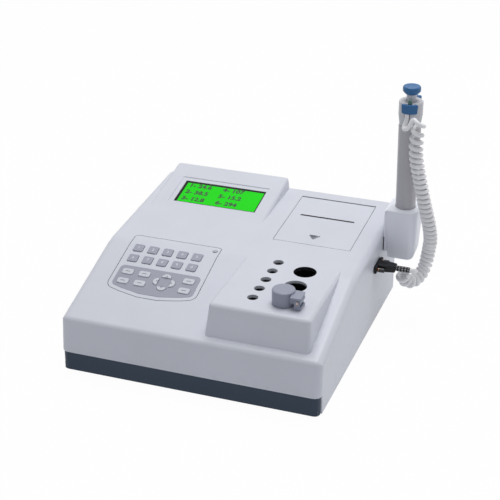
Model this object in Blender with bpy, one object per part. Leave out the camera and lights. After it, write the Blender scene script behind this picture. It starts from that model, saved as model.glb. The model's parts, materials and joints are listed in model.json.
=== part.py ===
# A bench-top coagulation analyzer with its corded pipette.
# Everything is drawn from the housing's corner: x from the left side, y from the front, z from the
# underside of the base. The empty analyzer_origin then sets the whole on its feet, centred on the floor.

import bmesh
import bpy
from math import atan2, ceil, cos, pi, radians, sin, tan
from mathutils import Matrix, Vector

# General
GAP = 0.0003
OVERRUN = 0.004
WELD = 0.000001
WALL = 0.0028

# Housing
BODY_WIDTH = 0.2825
BODY_DEPTH = 0.299
SKIRT_LIFT = 0.0005
BAND_TOP = 0.0213
FRONT_LEAN = 0.0035
SLOPE_START_HEIGHT = 0.05977
DECK_START = 0.1264
DECK_START_HEIGHT = 0.09566
REAR_HEIGHT = 0.1049
BEND_RADIUS = 0.052
FRONT_RADIUS = 0.006
REAR_RADIUS = 0.003
SIDE_RADIUS = 0.008
LEAST_RADIUS = 0.0003
COLUMN_RADIUS = 0.0045
PILOT_RADIUS = 0.0013
PILOT_DEPTH = 0.015

# Display console on the deck
CONSOLE_LEFT = 0.0135
CONSOLE_RIGHT = 0.151
CONSOLE_START = 0.204
CONSOLE_ROOT = 0.196
CONSOLE_REAR_HEIGHT = 0.1178
CONSOLE_STEP_IN = 0.0006
CONSOLE_BASE = 0.080
CONSOLE_EDGE = 0.003
CONSOLE_DRAFT_SHARE = 0.12

# Display
SCREEN_LEFT = 0.0365
SCREEN_RIGHT = 0.135
SCREEN_FRONT = 0.2235
SCREEN_REAR = 0.2648
BEZEL_LEFT = 0.0305
BEZEL_RIGHT = 0.1375
BEZEL_FRONT = 0.221
BEZEL_REAR = 0.271
BEZEL_DEPTH = 0.0010
BEZEL_SLANT = 0.0008
MODULE_MARGIN = 0.006
MODULE_DEPTH = 0.0085
GLASS_RISE = 0.0019

# Raised block around the wells
BLOCK_LEFT = 0.1583
BLOCK_RIGHT = 0.2649
BLOCK_FRONT = 0.0205
BLOCK_REAR = 0.165
BLOCK_TOP = 0.0965
BLOCK_BASE = 0.050
BLOCK_EDGE = 0.004
BLOCK_SIDE_DRAFT_SHARE = 0.075
BLOCK_FRONT_DRAFT_SHARE = 0.226

# Wells and heated blocks
WELL_COUNT = 5
WELL_X = 0.1958
WELL_Y = 0.0467
WELL_PITCH = 0.0203
WELL_RADIUS = 0.00525
WELL_DEPTH = 0.030
REAGENT_RADIUS = 0.0117
REAGENT_DEPTH = 0.034
REAGENT_X = 0.2288
REAGENT_FRONT_Y = 0.0834
REAGENT_REAR_Y = 0.1164
WELL_RIM = 0.0005
CHANNEL_X = 0.2287
CHANNEL_Y = 0.0458
CHANNEL_RADIUS = 0.0045
CHANNEL_RIM = 0.0025
CHANNEL_DEPTH = 0.028
HEATER_WALL = 0.0042
HEATER_FLOOR = 0.005
HEATER_LEDGE = 0.012
HEATER_CORNER = 0.0025

# Channel cap and its hinge
CAP_RADIUS = 0.01185
CAP_TOP = 0.1128
CAP_EDGE = 0.0012
CAP_RECESS_RADIUS = 0.0088
CAP_RECESS_DEPTH = 0.0012
PIN_X = 0.2465
PIN_Z = 0.105
PIN_RADIUS = 0.0012
PIN_HEAD_RADIUS = 0.0021
PIN_HEAD_LENGTH = 0.0011
PIN_OVERHANG = 0.0006
BRACKET_FRONT = 0.035
BRACKET_REAR = 0.050
BRACKET_THICKNESS = 0.0025
EAR_THICKNESS = 0.003
EAR_CUT_ANGLE = 55.0
KNUCKLE_RADIUS = 0.0035
ARM_TOP = 0.1092
HOOD_THICKNESS = 0.0017
HOOD_OVERHANG = 0.001
HOOD_REACH = 0.0075

# Keypad overlay
OVERLAY_LEFT = 0.028
OVERLAY_RIGHT = 0.1287
OVERLAY_REAR = 0.1387
OVERLAY_FRONT = 0.057
OVERLAY_BOW = 0.0148
OVERLAY_REAR_RADIUS = 0.004
OVERLAY_FRONT_RADIUS = 0.009
OVERLAY_BOW_RADIUS = 0.120
OVERLAY_THICKNESS = 0.0016
OVERLAY_CLEARANCE = 0.0004
OVERLAY_LEDGE = 0.0022
PANEL_RISE = 0.00035
PANEL_MARGIN = 0.0045
PANEL_REAR = 0.089
PANEL_RADIUS = 0.005
POST_RADIUS = 0.0016
POST_LENGTH = 0.0030
POST_INSET = 0.0048
MIDDLE_POST_X = 0.0751
BOARD_THICKNESS = 0.0016
BOARD_MARGIN = 0.004

# Keys
KEY_CLEARANCE = 0.0003
KEY_FLANGE = 0.0009
KEY_FLANGE_THICKNESS = 0.0008
KEY_EDGE = 0.0004
KEY_TRAVEL = 0.0008
NUMBER_COLUMNS = 5
NUMBER_X = 0.0405
NUMBER_PITCH = 0.0169
NUMBER_REAR_Y = 0.1162
NUMBER_FRONT_Y = 0.1005
NUMBER_SIZE = 0.011
NUMBER_CORNER = 0.0010
FUNCTION_LEFT_X = 0.0435
FUNCTION_RIGHT_X = 0.0625
SIDE_KEY_X = 0.1129
FUNCTION_REAR_Y = 0.0800
FUNCTION_FRONT_Y = 0.0662
FUNCTION_WIDTH = 0.0125
FUNCTION_HEIGHT = 0.0080
FUNCTION_CORNER = 0.0014
ARROW_X = 0.0878
ARROW_Y = 0.0729
ARROW_RADIUS = 0.0054
ARROW_OFFSET = 0.0070
ARROW_FLANGE = 0.0006
LED_X = 0.1231
LED_Y = 0.1310
LED_RADIUS = 0.0025
LED_RISE = 0.0005
LED_DEPTH = 0.0026
LED_DOME_SHARE = 0.7

# Base tray and feet
BASE_FLOOR = 0.0025
BASE_LIP = 0.002
BASE_LIP_HEIGHT = 0.008
BAND_SETBACK = 0.001
BAND_SIDE = 0.0015
BAND_DEPTH = 0.008
BAND_WALL = 0.0025
BAND_CORNER = 0.006
BOSS_X = 0.012
BOSS_FRONT_Y = 0.020
BOSS_REAR_Y = 0.284
BOSS_RADIUS = 0.0045
BOSS_HEIGHT = 0.010
SCREW_RADIUS = 0.0019
COUNTERBORE_RADIUS = 0.0036
COUNTERBORE_DEPTH = 0.005
VENT_COUNT = 8
VENT_PITCH = 0.008
VENT_WIDTH = 0.003
VENT_LENGTH = 0.036
VENT_Y = 0.085
FOOT_X = 0.026
FOOT_FRONT_Y = 0.030
FOOT_REAR_Y = 0.269
FOOT_RADIUS = 0.009
FOOT_HEIGHT = 0.003
FOOT_CHAMFER = 0.001
STUD_RADIUS = 0.0025
STUD_LENGTH = 0.0018
STANDOFF_RADIUS = 0.003
STANDOFF_HEIGHT = 0.006

# Printer bay, measured on the deck: y along the deck's depth, depths below its surface
DOOR_LEFT = 0.1735
DOOR_RIGHT = 0.26
DOOR_FRONT = 0.1756
DOOR_REAR = 0.282
DOOR_THICKNESS = 0.0028
DOOR_CLEARANCE = 0.0005
DOOR_BARREL = 0.0022
DOOR_SKIN = 0.0018
DOOR_RIB = 0.002
DOOR_RIB_COUNT = 3
DOOR_RIM = 0.004
PAPER_SLOT_Y = 0.2387
PAPER_SLOT_LEFT = 0.185
PAPER_SLOT_RIGHT = 0.247
PAPER_SLOT_WIDTH = 0.002
MARK_X = 0.2128
MARK_Y = 0.1955
MARK_WIDTH = 0.008
MARK_STEP = 0.0024
MARK_BAR = 0.0011
MARK_RISE = 0.0003
MARK_COUNT = 3
HINGE_STUB_RADIUS = 0.0010
HINGE_STUB_LENGTH = 0.0022
HINGE_BOSS_WIDTH = 0.0040
HINGE_BOSS_LENGTH = 0.0085
HINGE_BOSS_DEPTH = 0.006
BAY_LEFT = 0.1765
BAY_RIGHT = 0.2565
BAY_FRONT = 0.180
BAY_REAR = 0.275
BAY_DEPTH = 0.054
BAY_WALL = 0.002
BAY_FLANGE = 0.008
BAY_FLANGE_THICKNESS = 0.002
CHEEK_THICKNESS = 0.004
ROLL_Y = 0.208
ROLL_AXIS_DEPTH = 0.029
ROLL_RADIUS = 0.022
ROLL_WIDTH = 0.057
CORE_RADIUS = 0.006
SPINDLE_END_RADIUS = 0.003
SPINDLE_END_CHAMFER = 0.0006
PLATEN_Y = 0.2387
PLATEN_AXIS_DEPTH = 0.0130
PLATEN_RADIUS = 0.006
PLATEN_WIDTH = 0.058
PLATEN_SHAFT_RADIUS = 0.002
HEAD_FRONT = 0.2462
HEAD_REAR = 0.262
HEAD_TOP_DEPTH = 0.008
HEAD_BOTTOM_DEPTH = 0.024

# Rear panel
REAR_OPENING_LEFT = 0.026
REAR_OPENING_RIGHT = 0.2565
REAR_OPENING_BOTTOM = 0.018
REAR_OPENING_TOP = 0.084
REAR_OPENING_CORNER = 0.004
PANEL_LAP = 0.006
PANEL_THICKNESS = 0.0015
PANEL_SLOT_COUNT = 12
PANEL_SLOT_X = 0.0485
PANEL_SLOT_PITCH = 0.0065
PANEL_SLOT_WIDTH = 0.0028
PANEL_SLOT_HEIGHT = 0.034
PANEL_SLOT_Z = 0.052
PORTS_Z = 0.034
INLET_X = 0.2285
INLET_WIDTH = 0.027
INLET_HEIGHT = 0.0195
INLET_FLANGE = 0.0035
INLET_FLANGE_THICKNESS = 0.0022
INLET_BODY_DEPTH = 0.022
INLET_MOUTH_WIDTH = 0.0232
INLET_MOUTH_HEIGHT = 0.0157
INLET_MOUTH_DEPTH = 0.0165
INLET_MOUTH_CORNER = 0.0045
BLADE_WIDTH = 0.002
BLADE_HEIGHT = 0.004
BLADE_LENGTH = 0.0135
BLADE_SPACING = 0.007
SWITCH_X = 0.1945
SWITCH_WIDTH = 0.0125
SWITCH_HEIGHT = 0.0195
SWITCH_RIM = 0.0022
SWITCH_RIM_THICKNESS = 0.0018
SWITCH_BODY_DEPTH = 0.016
ROCKER_CLEARANCE = 0.0004
ROCKER_TILT = 10.0
ROCKER_FACE = 0.0030
ROCKER_DEPTH = 0.0050
PORT_X = 0.1525
PORT_WIDTH = 0.0185
PORT_HEIGHT = 0.0095
PORT_FLANGE_WIDTH = 0.031
PORT_FLANGE_HEIGHT = 0.0125
PORT_FLANGE_THICKNESS = 0.001
PORT_RISE = 0.0016
PORT_BODY_DEPTH = 0.010
PORT_NUT_SPACING = 0.025
PORT_NUT_RADIUS = 0.0024
PORT_NUT_HOLE = 0.0013
PORT_SLANT_SHARE = 0.09

# Circuit board and power supply on the base
MAIN_BOARD_LEFT = 0.0325
MAIN_BOARD_RIGHT = 0.1605
MAIN_BOARD_FRONT = 0.050
MAIN_BOARD_REAR = 0.240
CHIP_RISE = 0.003
CHIP_SIZE = 0.018
SOCKET_RISE = 0.010
SUPPLY_LEFT = 0.1785
SUPPLY_RIGHT = 0.2645
SUPPLY_FRONT = 0.150
SUPPLY_REAR = 0.255
SUPPLY_HEIGHT = 0.030
SUPPLY_EDGE = 0.002
SUPPLY_FIN_COUNT = 9
SUPPLY_FIN_DEPTH = 0.0025
SUPPLY_FIN_WIDTH = 0.004

# Pipette holder on the right side
HOLDER_GAP = 0.0022
HOLDER_WIDTH = 0.034
HOLDER_FRONT = 0.229
HOLDER_REAR = 0.270
HOLDER_BOTTOM = 0.068
HOLDER_TOP = 0.127
HOLDER_CORNER = 0.010
HOLDER_INNER_CORNER = 0.003
HOLDER_EDGE = 0.002
HOLDER_TAPER_SHARE = 0.05
HOLDER_REAR_RISE = 0.006
HOLDER_WALL = 0.0024
HOLDER_POCKET_FLOOR = 0.115
HOLDER_CAVITY_TOP = 0.108
HOLDER_PAD_MARGIN = 0.0025

# Pipette in its holder
PIPETTE_OFFSET = 0.0194
PIPETTE_Y = 0.2469
NOZZLE_BOTTOM = 0.075
NOZZLE_TIP_RADIUS = 0.0035
NOZZLE_BORE_RADIUS = 0.0016
NOZZLE_RADIUS = 0.0060
HANDLE_FOOT_RADIUS = 0.0106
HANDLE_RADIUS = 0.0121
HANDLE_TOP = 0.2227
HANDLE_EDGE = 0.0008
NECK_RADIUS = 0.0096
NECK_TOP = 0.240
PLUNGER_BORE_RADIUS = 0.0056
PLUNGER_BORE_FLOOR = 0.200
PLUNGER_RADIUS = 0.0053
PLUNGER_BOTTOM = 0.209
KNOB_BOTTOM = 0.2572
KNOB_UNDERSIDE = 0.2602
KNOB_FOOT_RADIUS = 0.0070
KNOB_SHOULDER = 0.264
KNOB_TOP = 0.2655
KNOB_RADIUS = 0.0096
KNOB_DISH = 0.0005
KNOB_RIM_SHARE = 0.93
KNOB_CROWN_SHARE = 0.82
KNOB_HOLLOW_SHARE = 0.6
SLEEVE_BOTTOM = 0.223
SLEEVE_TOP = 0.2495
SLEEVE_FOOT_RADIUS = 0.0114
SLEEVE_RADIUS = 0.0129
SLEEVE_SHOULDER = 0.234
SLEEVE_ROOF = 0.003
SLEEVE_EDGE = 0.001
CORD_SLOT_ANGLE = -94.0
CLIP_ANGLE = -83.0
CLIP_HALF_ANGLE = 33.0
CLIP_LOWER_HALF_ANGLE = 30.0
CLIP_INNER = 0.0132
CLIP_OUTER = 0.0162
EJECTOR_ANGLE = 80.0
CLIP_BOTTOM = 0.239
CLIP_TOP = 0.2494
TONGUE_WIDTH = 0.005
TONGUE_INNER = 0.0102
TONGUE_MARGIN = 0.0012
LAMP_RADIUS = 0.0023
LAMP_OFFSET = 0.0126
LAMP_BOTTOM = 0.2498
LAMP_HEIGHT = 0.0047
EJECTOR_BOTTOM = 0.176
EJECTOR_INNER = 0.0124
EJECTOR_OUTER = 0.0140
EJECTOR_WIDTH = 0.005
EJECTOR_PAD_OUTER = 0.018
EJECTOR_PAD_WIDTH = 0.0095
EJECTOR_PAD_BOTTOM = 0.244
EJECTOR_PAD_TOP = 0.250
EJECTOR_EDGE = 0.0006

# Connector on the right side
PLUG_Y = 0.208
PLUG_Z = 0.0695
PLUG_HEIGHT = 0.007
PLUG_FLANGE_HALF = 0.0145
PLUG_FLANGE_THICKNESS = 0.0032
PLUG_HOOD_HALF = 0.0062
PLUG_SHOULDER_HALF = 0.0068
PLUG_LENGTH = 0.0212
PLUG_EDGE = 0.001
PLUG_END_SHARE = 0.8
JACKSCREW_SPACING = 0.021
JACKSCREW_RADIUS = 0.0012
JACKSCREW_HEAD_RADIUS = 0.0025
JACKSCREW_HEAD_LENGTH = 0.0075
JACKSCREW_REACH = 0.003
JACKSCREW_RIDGES = 8
JACKSCREW_GROOVE = 0.0003
JACKSCREW_END_SHARE = 0.8
CORD_SLEEVE_RADIUS = 0.0031
CORD_SLEEVE_LENGTH = 0.0150
SOCKET_HALF = 0.0137
SOCKET_HEIGHT = 0.0082
SOCKET_FLANGE = 0.0025
SOCKET_FLANGE_THICKNESS = 0.002
SOCKET_BODY_DEPTH = 0.009

# Curly cord
WIRE_RADIUS = 0.00235
COIL_RADIUS = 0.0055
TOP_PITCH = 0.0135
COIL_PITCH = 0.0056
PITCH_FADE = 0.100
PITCH_POWER = 4
BEND_GAP = 0.0007
LEAST_SQUEEZE_SHARE = 0.3
CURL_POINTS = 8
LEAD_POINTS = 10
COIL_START = 135.0
LEAD_PULL = 0.0085
HANG_PULL = 0.005

# Values worked out from the sizes above
FOOT_DROP = FOOT_HEIGHT + GAP
KEY_RISE = KEY_TRAVEL + GAP
PART_RIGHT = BODY_WIDTH + HOLDER_GAP + HOLDER_WIDTH
PIPETTE_X = BODY_WIDTH + PIPETTE_OFFSET
INNER_LEFT = WALL + GAP
INNER_RIGHT = BODY_WIDTH - WALL - GAP
INNER_REAR = BODY_DEPTH - WALL - GAP
WALL_X = BODY_WIDTH + GAP


def remove(obj):
    data = obj.data
    bpy.data.objects.remove(obj)
    if data and data.users == 0 and isinstance(data, bpy.types.Mesh):
        bpy.data.meshes.remove(data)


def clear_scene():
    for obj in list(bpy.data.objects):
        bpy.data.objects.remove(obj)


def material(name, colour, roughness, metallic=0.0):
    existing = bpy.data.materials.get(name)
    if existing:
        return existing
    made = bpy.data.materials.new(name)
    made.use_nodes = True
    made.diffuse_color = (*colour, 1.0)
    shader = made.node_tree.nodes["Principled BSDF"]
    shader.inputs["Base Color"].default_value = (*colour, 1.0)
    shader.inputs["Roughness"].default_value = roughness
    shader.inputs["Metallic"].default_value = metallic
    return made


# Forms are temporary objects that booleans join and cut
def form(mesh_edit, matrix=None):
    bmesh.ops.recalc_face_normals(mesh_edit, faces=mesh_edit.faces[:])
    if matrix is not None:
        mesh_edit.transform(matrix)
    mesh = bpy.data.meshes.new("form")
    mesh_edit.to_mesh(mesh)
    mesh_edit.free()
    obj = bpy.data.objects.new("form", mesh)
    bpy.context.collection.objects.link(obj)
    return obj


def carve(obj, operation, tools):
    for tool in tools:
        modifier = obj.modifiers.new(operation, "BOOLEAN")
        modifier.operation = operation
        modifier.solver = "EXACT"
        modifier.object = tool
    bpy.context.view_layer.update()
    graph = bpy.context.evaluated_depsgraph_get()
    mesh = bpy.data.meshes.new_from_object(obj.evaluated_get(graph))
    old = obj.data
    obj.modifiers.clear()
    obj.data = mesh
    bpy.data.meshes.remove(old)
    for tool in tools:
        remove(tool)
    return obj


def joined(first, *others):
    return carve(first, "UNION", list(others))


def cut(first, *others):
    return carve(first, "DIFFERENCE", list(others))


def common(first, *others):
    return carve(first, "INTERSECT", list(others))


# A finished piece: its mesh is cleaned, shaded and hung on the analyzer's origin, turning about its pivot
def finish(name, obj, surface, pivot=(0.0, 0.0, 0.0)):
    mesh = obj.data
    edit = bmesh.new()
    edit.from_mesh(mesh)
    bmesh.ops.remove_doubles(edit, verts=edit.verts[:], dist=WELD)
    bmesh.ops.dissolve_degenerate(edit, dist=WELD, edges=edit.edges[:])
    edit.transform(Matrix.Translation(-Vector(pivot)))
    edit.to_mesh(mesh)
    edit.free()
    mesh.shade_smooth()
    mesh.set_sharp_from_angle(angle=radians(35.0))
    mesh.materials.clear()
    mesh.materials.append(surface)
    mesh.name = name
    obj.name = name
    obj.location = Vector(pivot)
    obj.parent = bpy.data.objects["analyzer_origin"]
    return obj


# Rounds the corners of a closed outline, each by its own radius, with so many pieces to a right angle
def rounded(corners, radii, pieces=4):
    points = []
    count = len(corners)
    for index, corner in enumerate(corners):
        here = Vector(corner)
        radius = radii[index] if isinstance(radii, (list, tuple)) else radii
        before = (Vector(corners[index - 1]) - here).normalized()
        after = (Vector(corners[(index + 1) % count]) - here).normalized()
        if not radius:
            points.append(tuple(here))
            continue
        opening = before.angle(after)
        reach = radius / tan(opening / 2)
        centre = here + (before + after).normalized() * (radius / sin(opening / 2))
        start = here + before * reach - centre
        turn = pi - opening
        sign = 1.0 if before.x * after.y - before.y * after.x < 0 else -1.0
        steps = max(1, ceil(pieces * turn / (pi / 2) - 0.01))
        for step in range(steps + 1):
            angle = sign * turn * step / steps
            points.append(
                (
                    centre.x + start.x * cos(angle) - start.y * sin(angle),
                    centre.y + start.x * sin(angle) + start.y * cos(angle),
                )
            )
    return points


def rectangle(left, right, low, high, radius=0.0, pieces=3):
    return rounded([(left, low), (right, low), (right, high), (left, high)], radius, pieces)


def circle(x, y, radius, count):
    return [
        (x + radius * cos(2 * pi * step / count), y + radius * sin(2 * pi * step / count))
        for step in range(count)
    ]


# Moves each edge of a closed counter-clockwise outline inwards by its own distance
def moved_in(corners, distances):
    moved = []
    count = len(corners)
    for index in range(count):
        here = Vector(corners[index])
        arriving = (here - Vector(corners[index - 1])).normalized()
        leaving = (Vector(corners[(index + 1) % count]) - here).normalized()
        first = here + Vector((-arriving.y, arriving.x)) * distances[index - 1]
        second = here + Vector((-leaving.y, leaving.x)) * distances[index]
        crossing = arriving.x * leaving.y - arriving.y * leaving.x
        gap = second - first
        along = (gap.x * leaving.y - gap.y * leaving.x) / crossing
        moved.append(tuple(first + arriving * along))
    return moved


# Which axis an outline is drawn across, and how its two coordinates and its depth lie
def place_point(axis, first, second, depth):
    if axis == "X":
        return (depth, first, second)
    if axis == "Y":
        return (first, depth, second)
    return (first, second, depth)


def loft(rings, matrix=None):
    edit = bmesh.new()
    rows = [[edit.verts.new(point) for point in ring] for ring in rings]
    count = len(rows[0])
    edit.faces.new(rows[0])
    edit.faces.new(rows[-1])
    for lower, upper in zip(rows, rows[1:]):
        for index in range(count):
            following = (index + 1) % count
            edit.faces.new((lower[index], lower[following], upper[following], upper[index]))
    return form(edit, matrix)


def prism(outline, low, high, axis="Z", matrix=None):
    rings = [[place_point(axis, u, v, depth) for u, v in outline] for depth in (low, high)]
    return loft(rings, matrix)


def box(left, right, front, rear, low, high, matrix=None):
    return prism(rectangle(left, right, front, rear), low, high, matrix=matrix)


def cylinder(x, y, radius, low, high, count=16, axis="Z", matrix=None):
    return prism(circle(x, y, radius, count), low, high, axis, matrix)


# Turns a profile of radius and height pairs about an upright axis
def turned(profile, x=0.0, y=0.0, count=24, matrix=None, closed=False):
    edit = bmesh.new()
    points = [edit.verts.new((radius, 0.0, height)) for radius, height in profile]
    edges = [edit.edges.new(pair) for pair in zip(points, points[1:])]
    if closed:
        edges.append(edit.edges.new((points[-1], points[0])))
    bmesh.ops.spin(
        edit,
        geom=points + edges,
        cent=(0.0, 0.0, 0.0),
        axis=(0.0, 0.0, 1.0),
        angle=2 * pi,
        steps=count,
        use_merge=True,
    )
    bmesh.ops.remove_doubles(edit, verts=edit.verts[:], dist=WELD)
    edit.transform(Matrix.Translation((x, y, 0.0)))
    return form(edit, matrix)


# Two frames that lay an upright axis along another one
def along_x(x, y, z):
    return Matrix.Translation((x, y, z)) @ Matrix.Rotation(pi / 2, 4, "Y")


def along_y(x, y, z):
    return Matrix.Translation((x, y, z)) @ Matrix.Rotation(-pi / 2, 4, "X")


# A flat face of the housing that rises from front to back
class Face:
    def __init__(self, front_y, front_z, rear_y, rear_z):
        self.y = front_y
        self.z = front_z
        self.rise = (rear_z - front_z) / (rear_y - front_y)
        self.angle = atan2(rear_z - front_z, rear_y - front_y)

    def height(self, y):
        return self.z + (y - self.y) * self.rise

    # Measures along the face, from where it starts
    def along(self, y):
        return (y - self.y) / cos(self.angle)

    # The face's own frame at a place: its y runs up the slope and its z stands square to it
    def at(self, x=0.0, y=None):
        y = self.y if y is None else y
        return Matrix.Translation((x, y, self.height(y))) @ Matrix.Rotation(self.angle, 4, "X")


slope = Face(FRONT_LEAN, SLOPE_START_HEIGHT, DECK_START, DECK_START_HEIGHT)
deck = Face(DECK_START, DECK_START_HEIGHT, BODY_DEPTH, REAR_HEIGHT)
console = Face(CONSOLE_START, deck.height(CONSOLE_START), BODY_DEPTH, CONSOLE_REAR_HEIGHT)


# The housing's outer form, or the form a given distance inside it
def body_form(inset=0.0, low=SKIRT_LIFT):
    corners = [
        (0.0, low),
        (BODY_DEPTH, low),
        (BODY_DEPTH, REAR_HEIGHT),
        (DECK_START, DECK_START_HEIGHT),
        (FRONT_LEAN, SLOPE_START_HEIGHT),
        (0.0, BAND_TOP),
    ]
    radii = [0.0, 0.0, REAR_RADIUS, BEND_RADIUS, FRONT_RADIUS, 0.0]
    side = SIDE_RADIUS - inset
    stations = []
    for step in range(5):
        angle = pi / 2 * step / 4
        stations.append((inset + side - side * cos(angle), inset + side - side * sin(angle)))
    places = [(x, depth) for x, depth in stations]
    places += [(BODY_WIDTH - x, depth) for x, depth in reversed(stations)]
    rings = []
    for x, depth in places:
        outline = moved_in(corners, [0.0, depth, depth, depth, depth, depth])
        shrunk = [max(radius - depth, LEAST_RADIUS) if radius else 0.0 for radius in radii]
        rings.append([(x, y, z) for y, z in body_outline(outline, shrunk)])
    return loft(rings)


# Rounds the side outline with the same number of points whatever its radii
def body_outline(corners, radii):
    return rounded(corners, radii, pieces=4)


# A block with sloping sides and rounded upper edges; corners are its four top and four lower corners
def drafted_block(top, bottom, edge, rounded_sides):
    edit = bmesh.new()
    upper = [edit.verts.new(point) for point in top]
    lower = [edit.verts.new(point) for point in bottom]
    edit.faces.new(upper)
    edit.faces.new(list(reversed(lower)))
    for index in range(4):
        following = (index + 1) % 4
        edit.faces.new((lower[index], lower[following], upper[following], upper[index]))
    if edge:
        soft = []
        for index in rounded_sides:
            pair = {upper[index], upper[(index + 1) % 4]}
            soft += [each for each in edit.edges if set(each.verts) == pair]
        corner_numbers = {n for n in range(4) if n in rounded_sides and (n - 1) % 4 in rounded_sides}
        for index in corner_numbers:
            pair = {upper[index], lower[index]}
            soft += [each for each in edit.edges if set(each.verts) == pair]
        bmesh.ops.bevel(edit, geom=soft, offset=edge, segments=3, profile=0.5, affect="EDGES")
    return form(edit)


def console_form(inset=0.0):
    left = CONSOLE_LEFT + inset
    right = CONSOLE_RIGHT - inset
    front = CONSOLE_ROOT + inset
    rear = BODY_DEPTH - CONSOLE_STEP_IN - inset
    drop = inset / cos(console.angle)
    front_top = console.height(front) - drop
    rear_top = console.height(rear) - drop
    base = CONSOLE_BASE - inset
    front_spread = CONSOLE_DRAFT_SHARE * (front_top - base)
    rear_spread = CONSOLE_DRAFT_SHARE * (rear_top - base)
    top = [
        (left, front, front_top),
        (right, front, front_top),
        (right, rear, rear_top),
        (left, rear, rear_top),
    ]
    bottom = [
        (left - front_spread, front, base),
        (right + front_spread, front, base),
        (right + rear_spread, rear, base),
        (left - rear_spread, rear, base),
    ]
    return drafted_block(top, bottom, max(CONSOLE_EDGE - inset, 0.0), [1, 2, 3])


def block_form(inset=0.0):
    left = BLOCK_LEFT + inset
    right = BLOCK_RIGHT - inset
    front = BLOCK_FRONT + inset
    rear = BLOCK_REAR - inset
    high = BLOCK_TOP - inset
    base = BLOCK_BASE - inset
    side = BLOCK_SIDE_DRAFT_SHARE * (high - base)
    lean = BLOCK_FRONT_DRAFT_SHARE * (high - base)
    top = [(left, front, high), (right, front, high), (right, rear, high), (left, rear, high)]
    bottom = [
        (left - side, front - lean, base),
        (right + side, front - lean, base),
        (right + side, rear, base),
        (left - side, rear, base),
    ]
    return drafted_block(top, bottom, max(BLOCK_EDGE - inset, 0.0), [3, 0, 1])


# The keypad plate's outline, with its bowed front edge, moved in by a margin
def overlay_corners():
    middle = (OVERLAY_LEFT + OVERLAY_RIGHT) / 2
    return [
        (OVERLAY_LEFT, OVERLAY_FRONT),
        (middle, OVERLAY_FRONT - OVERLAY_BOW),
        (OVERLAY_RIGHT, OVERLAY_FRONT),
        (OVERLAY_RIGHT, OVERLAY_REAR),
        (OVERLAY_LEFT, OVERLAY_REAR),
    ]


def overlay_outline(margin=0.0):
    corners = moved_in(overlay_corners(), [margin] * 5)
    front = OVERLAY_FRONT_RADIUS - margin
    rear = max(OVERLAY_REAR_RADIUS - margin, LEAST_RADIUS)
    return rounded(corners, [front, OVERLAY_BOW_RADIUS, front, rear, rear], pieces=6)


def panel_outline():
    corners = moved_in(overlay_corners(), [PANEL_MARGIN, PANEL_MARGIN, PANEL_MARGIN, 0.0, PANEL_MARGIN])
    corners = [(x, min(y, PANEL_REAR)) for x, y in corners]
    radii = [PANEL_RADIUS, OVERLAY_BOW_RADIUS, PANEL_RADIUS, PANEL_RADIUS, PANEL_RADIUS]
    return rounded(corners, radii, pieces=6)


# A well's housing hole or a metal block's bore
def well_places():
    return [(WELL_X, WELL_Y + WELL_PITCH * number) for number in range(WELL_COUNT)]


def reagent_places():
    return [(REAGENT_X, REAGENT_FRONT_Y), (REAGENT_X, REAGENT_REAR_Y)]


def slanted_recess(face, left, right, front, rear, depth, slant):
    low, high = face.along(front), face.along(rear)
    outer = rectangle(left, right, low, high, slant, 2)
    inner = moved_in(rectangle(left, right, low, high), [slant] * 4)
    inner = rounded(inner, slant, 2)
    lift = OVERRUN
    rings = [
        [(x, y, -depth) for x, y in inner],
        [(x, y, GAP) for x, y in outer],
        [(x, y, lift) for x, y in outer],
    ]
    return loft(rings, face.at())


def door_outline(margin):
    front = deck.along(DOOR_FRONT) - margin
    rear = deck.along(DOOR_REAR) + margin
    return rectangle(DOOR_LEFT - margin, DOOR_RIGHT + margin, front, rear, DOOR_CLEARANCE * 2, 2)


# Blind sockets for the printer door's stubs, one at each side of its opening
def hinge_sides():
    return [(DOOR_LEFT, -1.0), (DOOR_RIGHT, 1.0)]


def hinge_centre():
    return deck.along(DOOR_REAR) - DOOR_BARREL, -DOOR_BARREL


def hinge_bosses():
    bosses = []
    along, depth = hinge_centre()
    half = HINGE_BOSS_LENGTH / 2
    for edge, way in hinge_sides():
        inner = edge + way * DOOR_CLEARANCE
        outer = inner + way * HINGE_BOSS_WIDTH
        outline = rectangle(along - half, along + half, -HINGE_BOSS_DEPTH, -WALL / 2)
        bosses.append(prism(outline, min(inner, outer), max(inner, outer), "X", deck.at()))
    return bosses


def hinge_sockets():
    sockets = []
    along, depth = hinge_centre()
    for edge, way in hinge_sides():
        inner = edge - way * OVERRUN
        outer = edge + way * (DOOR_CLEARANCE + HINGE_STUB_LENGTH)
        radius = HINGE_STUB_RADIUS + GAP
        sockets.append(
            cylinder(along, depth, radius, min(inner, outer), max(inner, outer), 12, "X", deck.at())
        )
    return sockets


def boss_places():
    return [
        (x, y)
        for x in (BOSS_X, BODY_WIDTH - BOSS_X)
        for y in (BOSS_FRONT_Y, BOSS_REAR_Y)
    ]


def screw_columns():
    columns = []
    low = BOSS_HEIGHT + GAP
    for x, y in boss_places():
        top = (slope if y < DECK_START else deck).height(y) - WALL / 2
        columns.append(cylinder(x, y, COLUMN_RADIUS, low, top, 12))
    return columns


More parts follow.
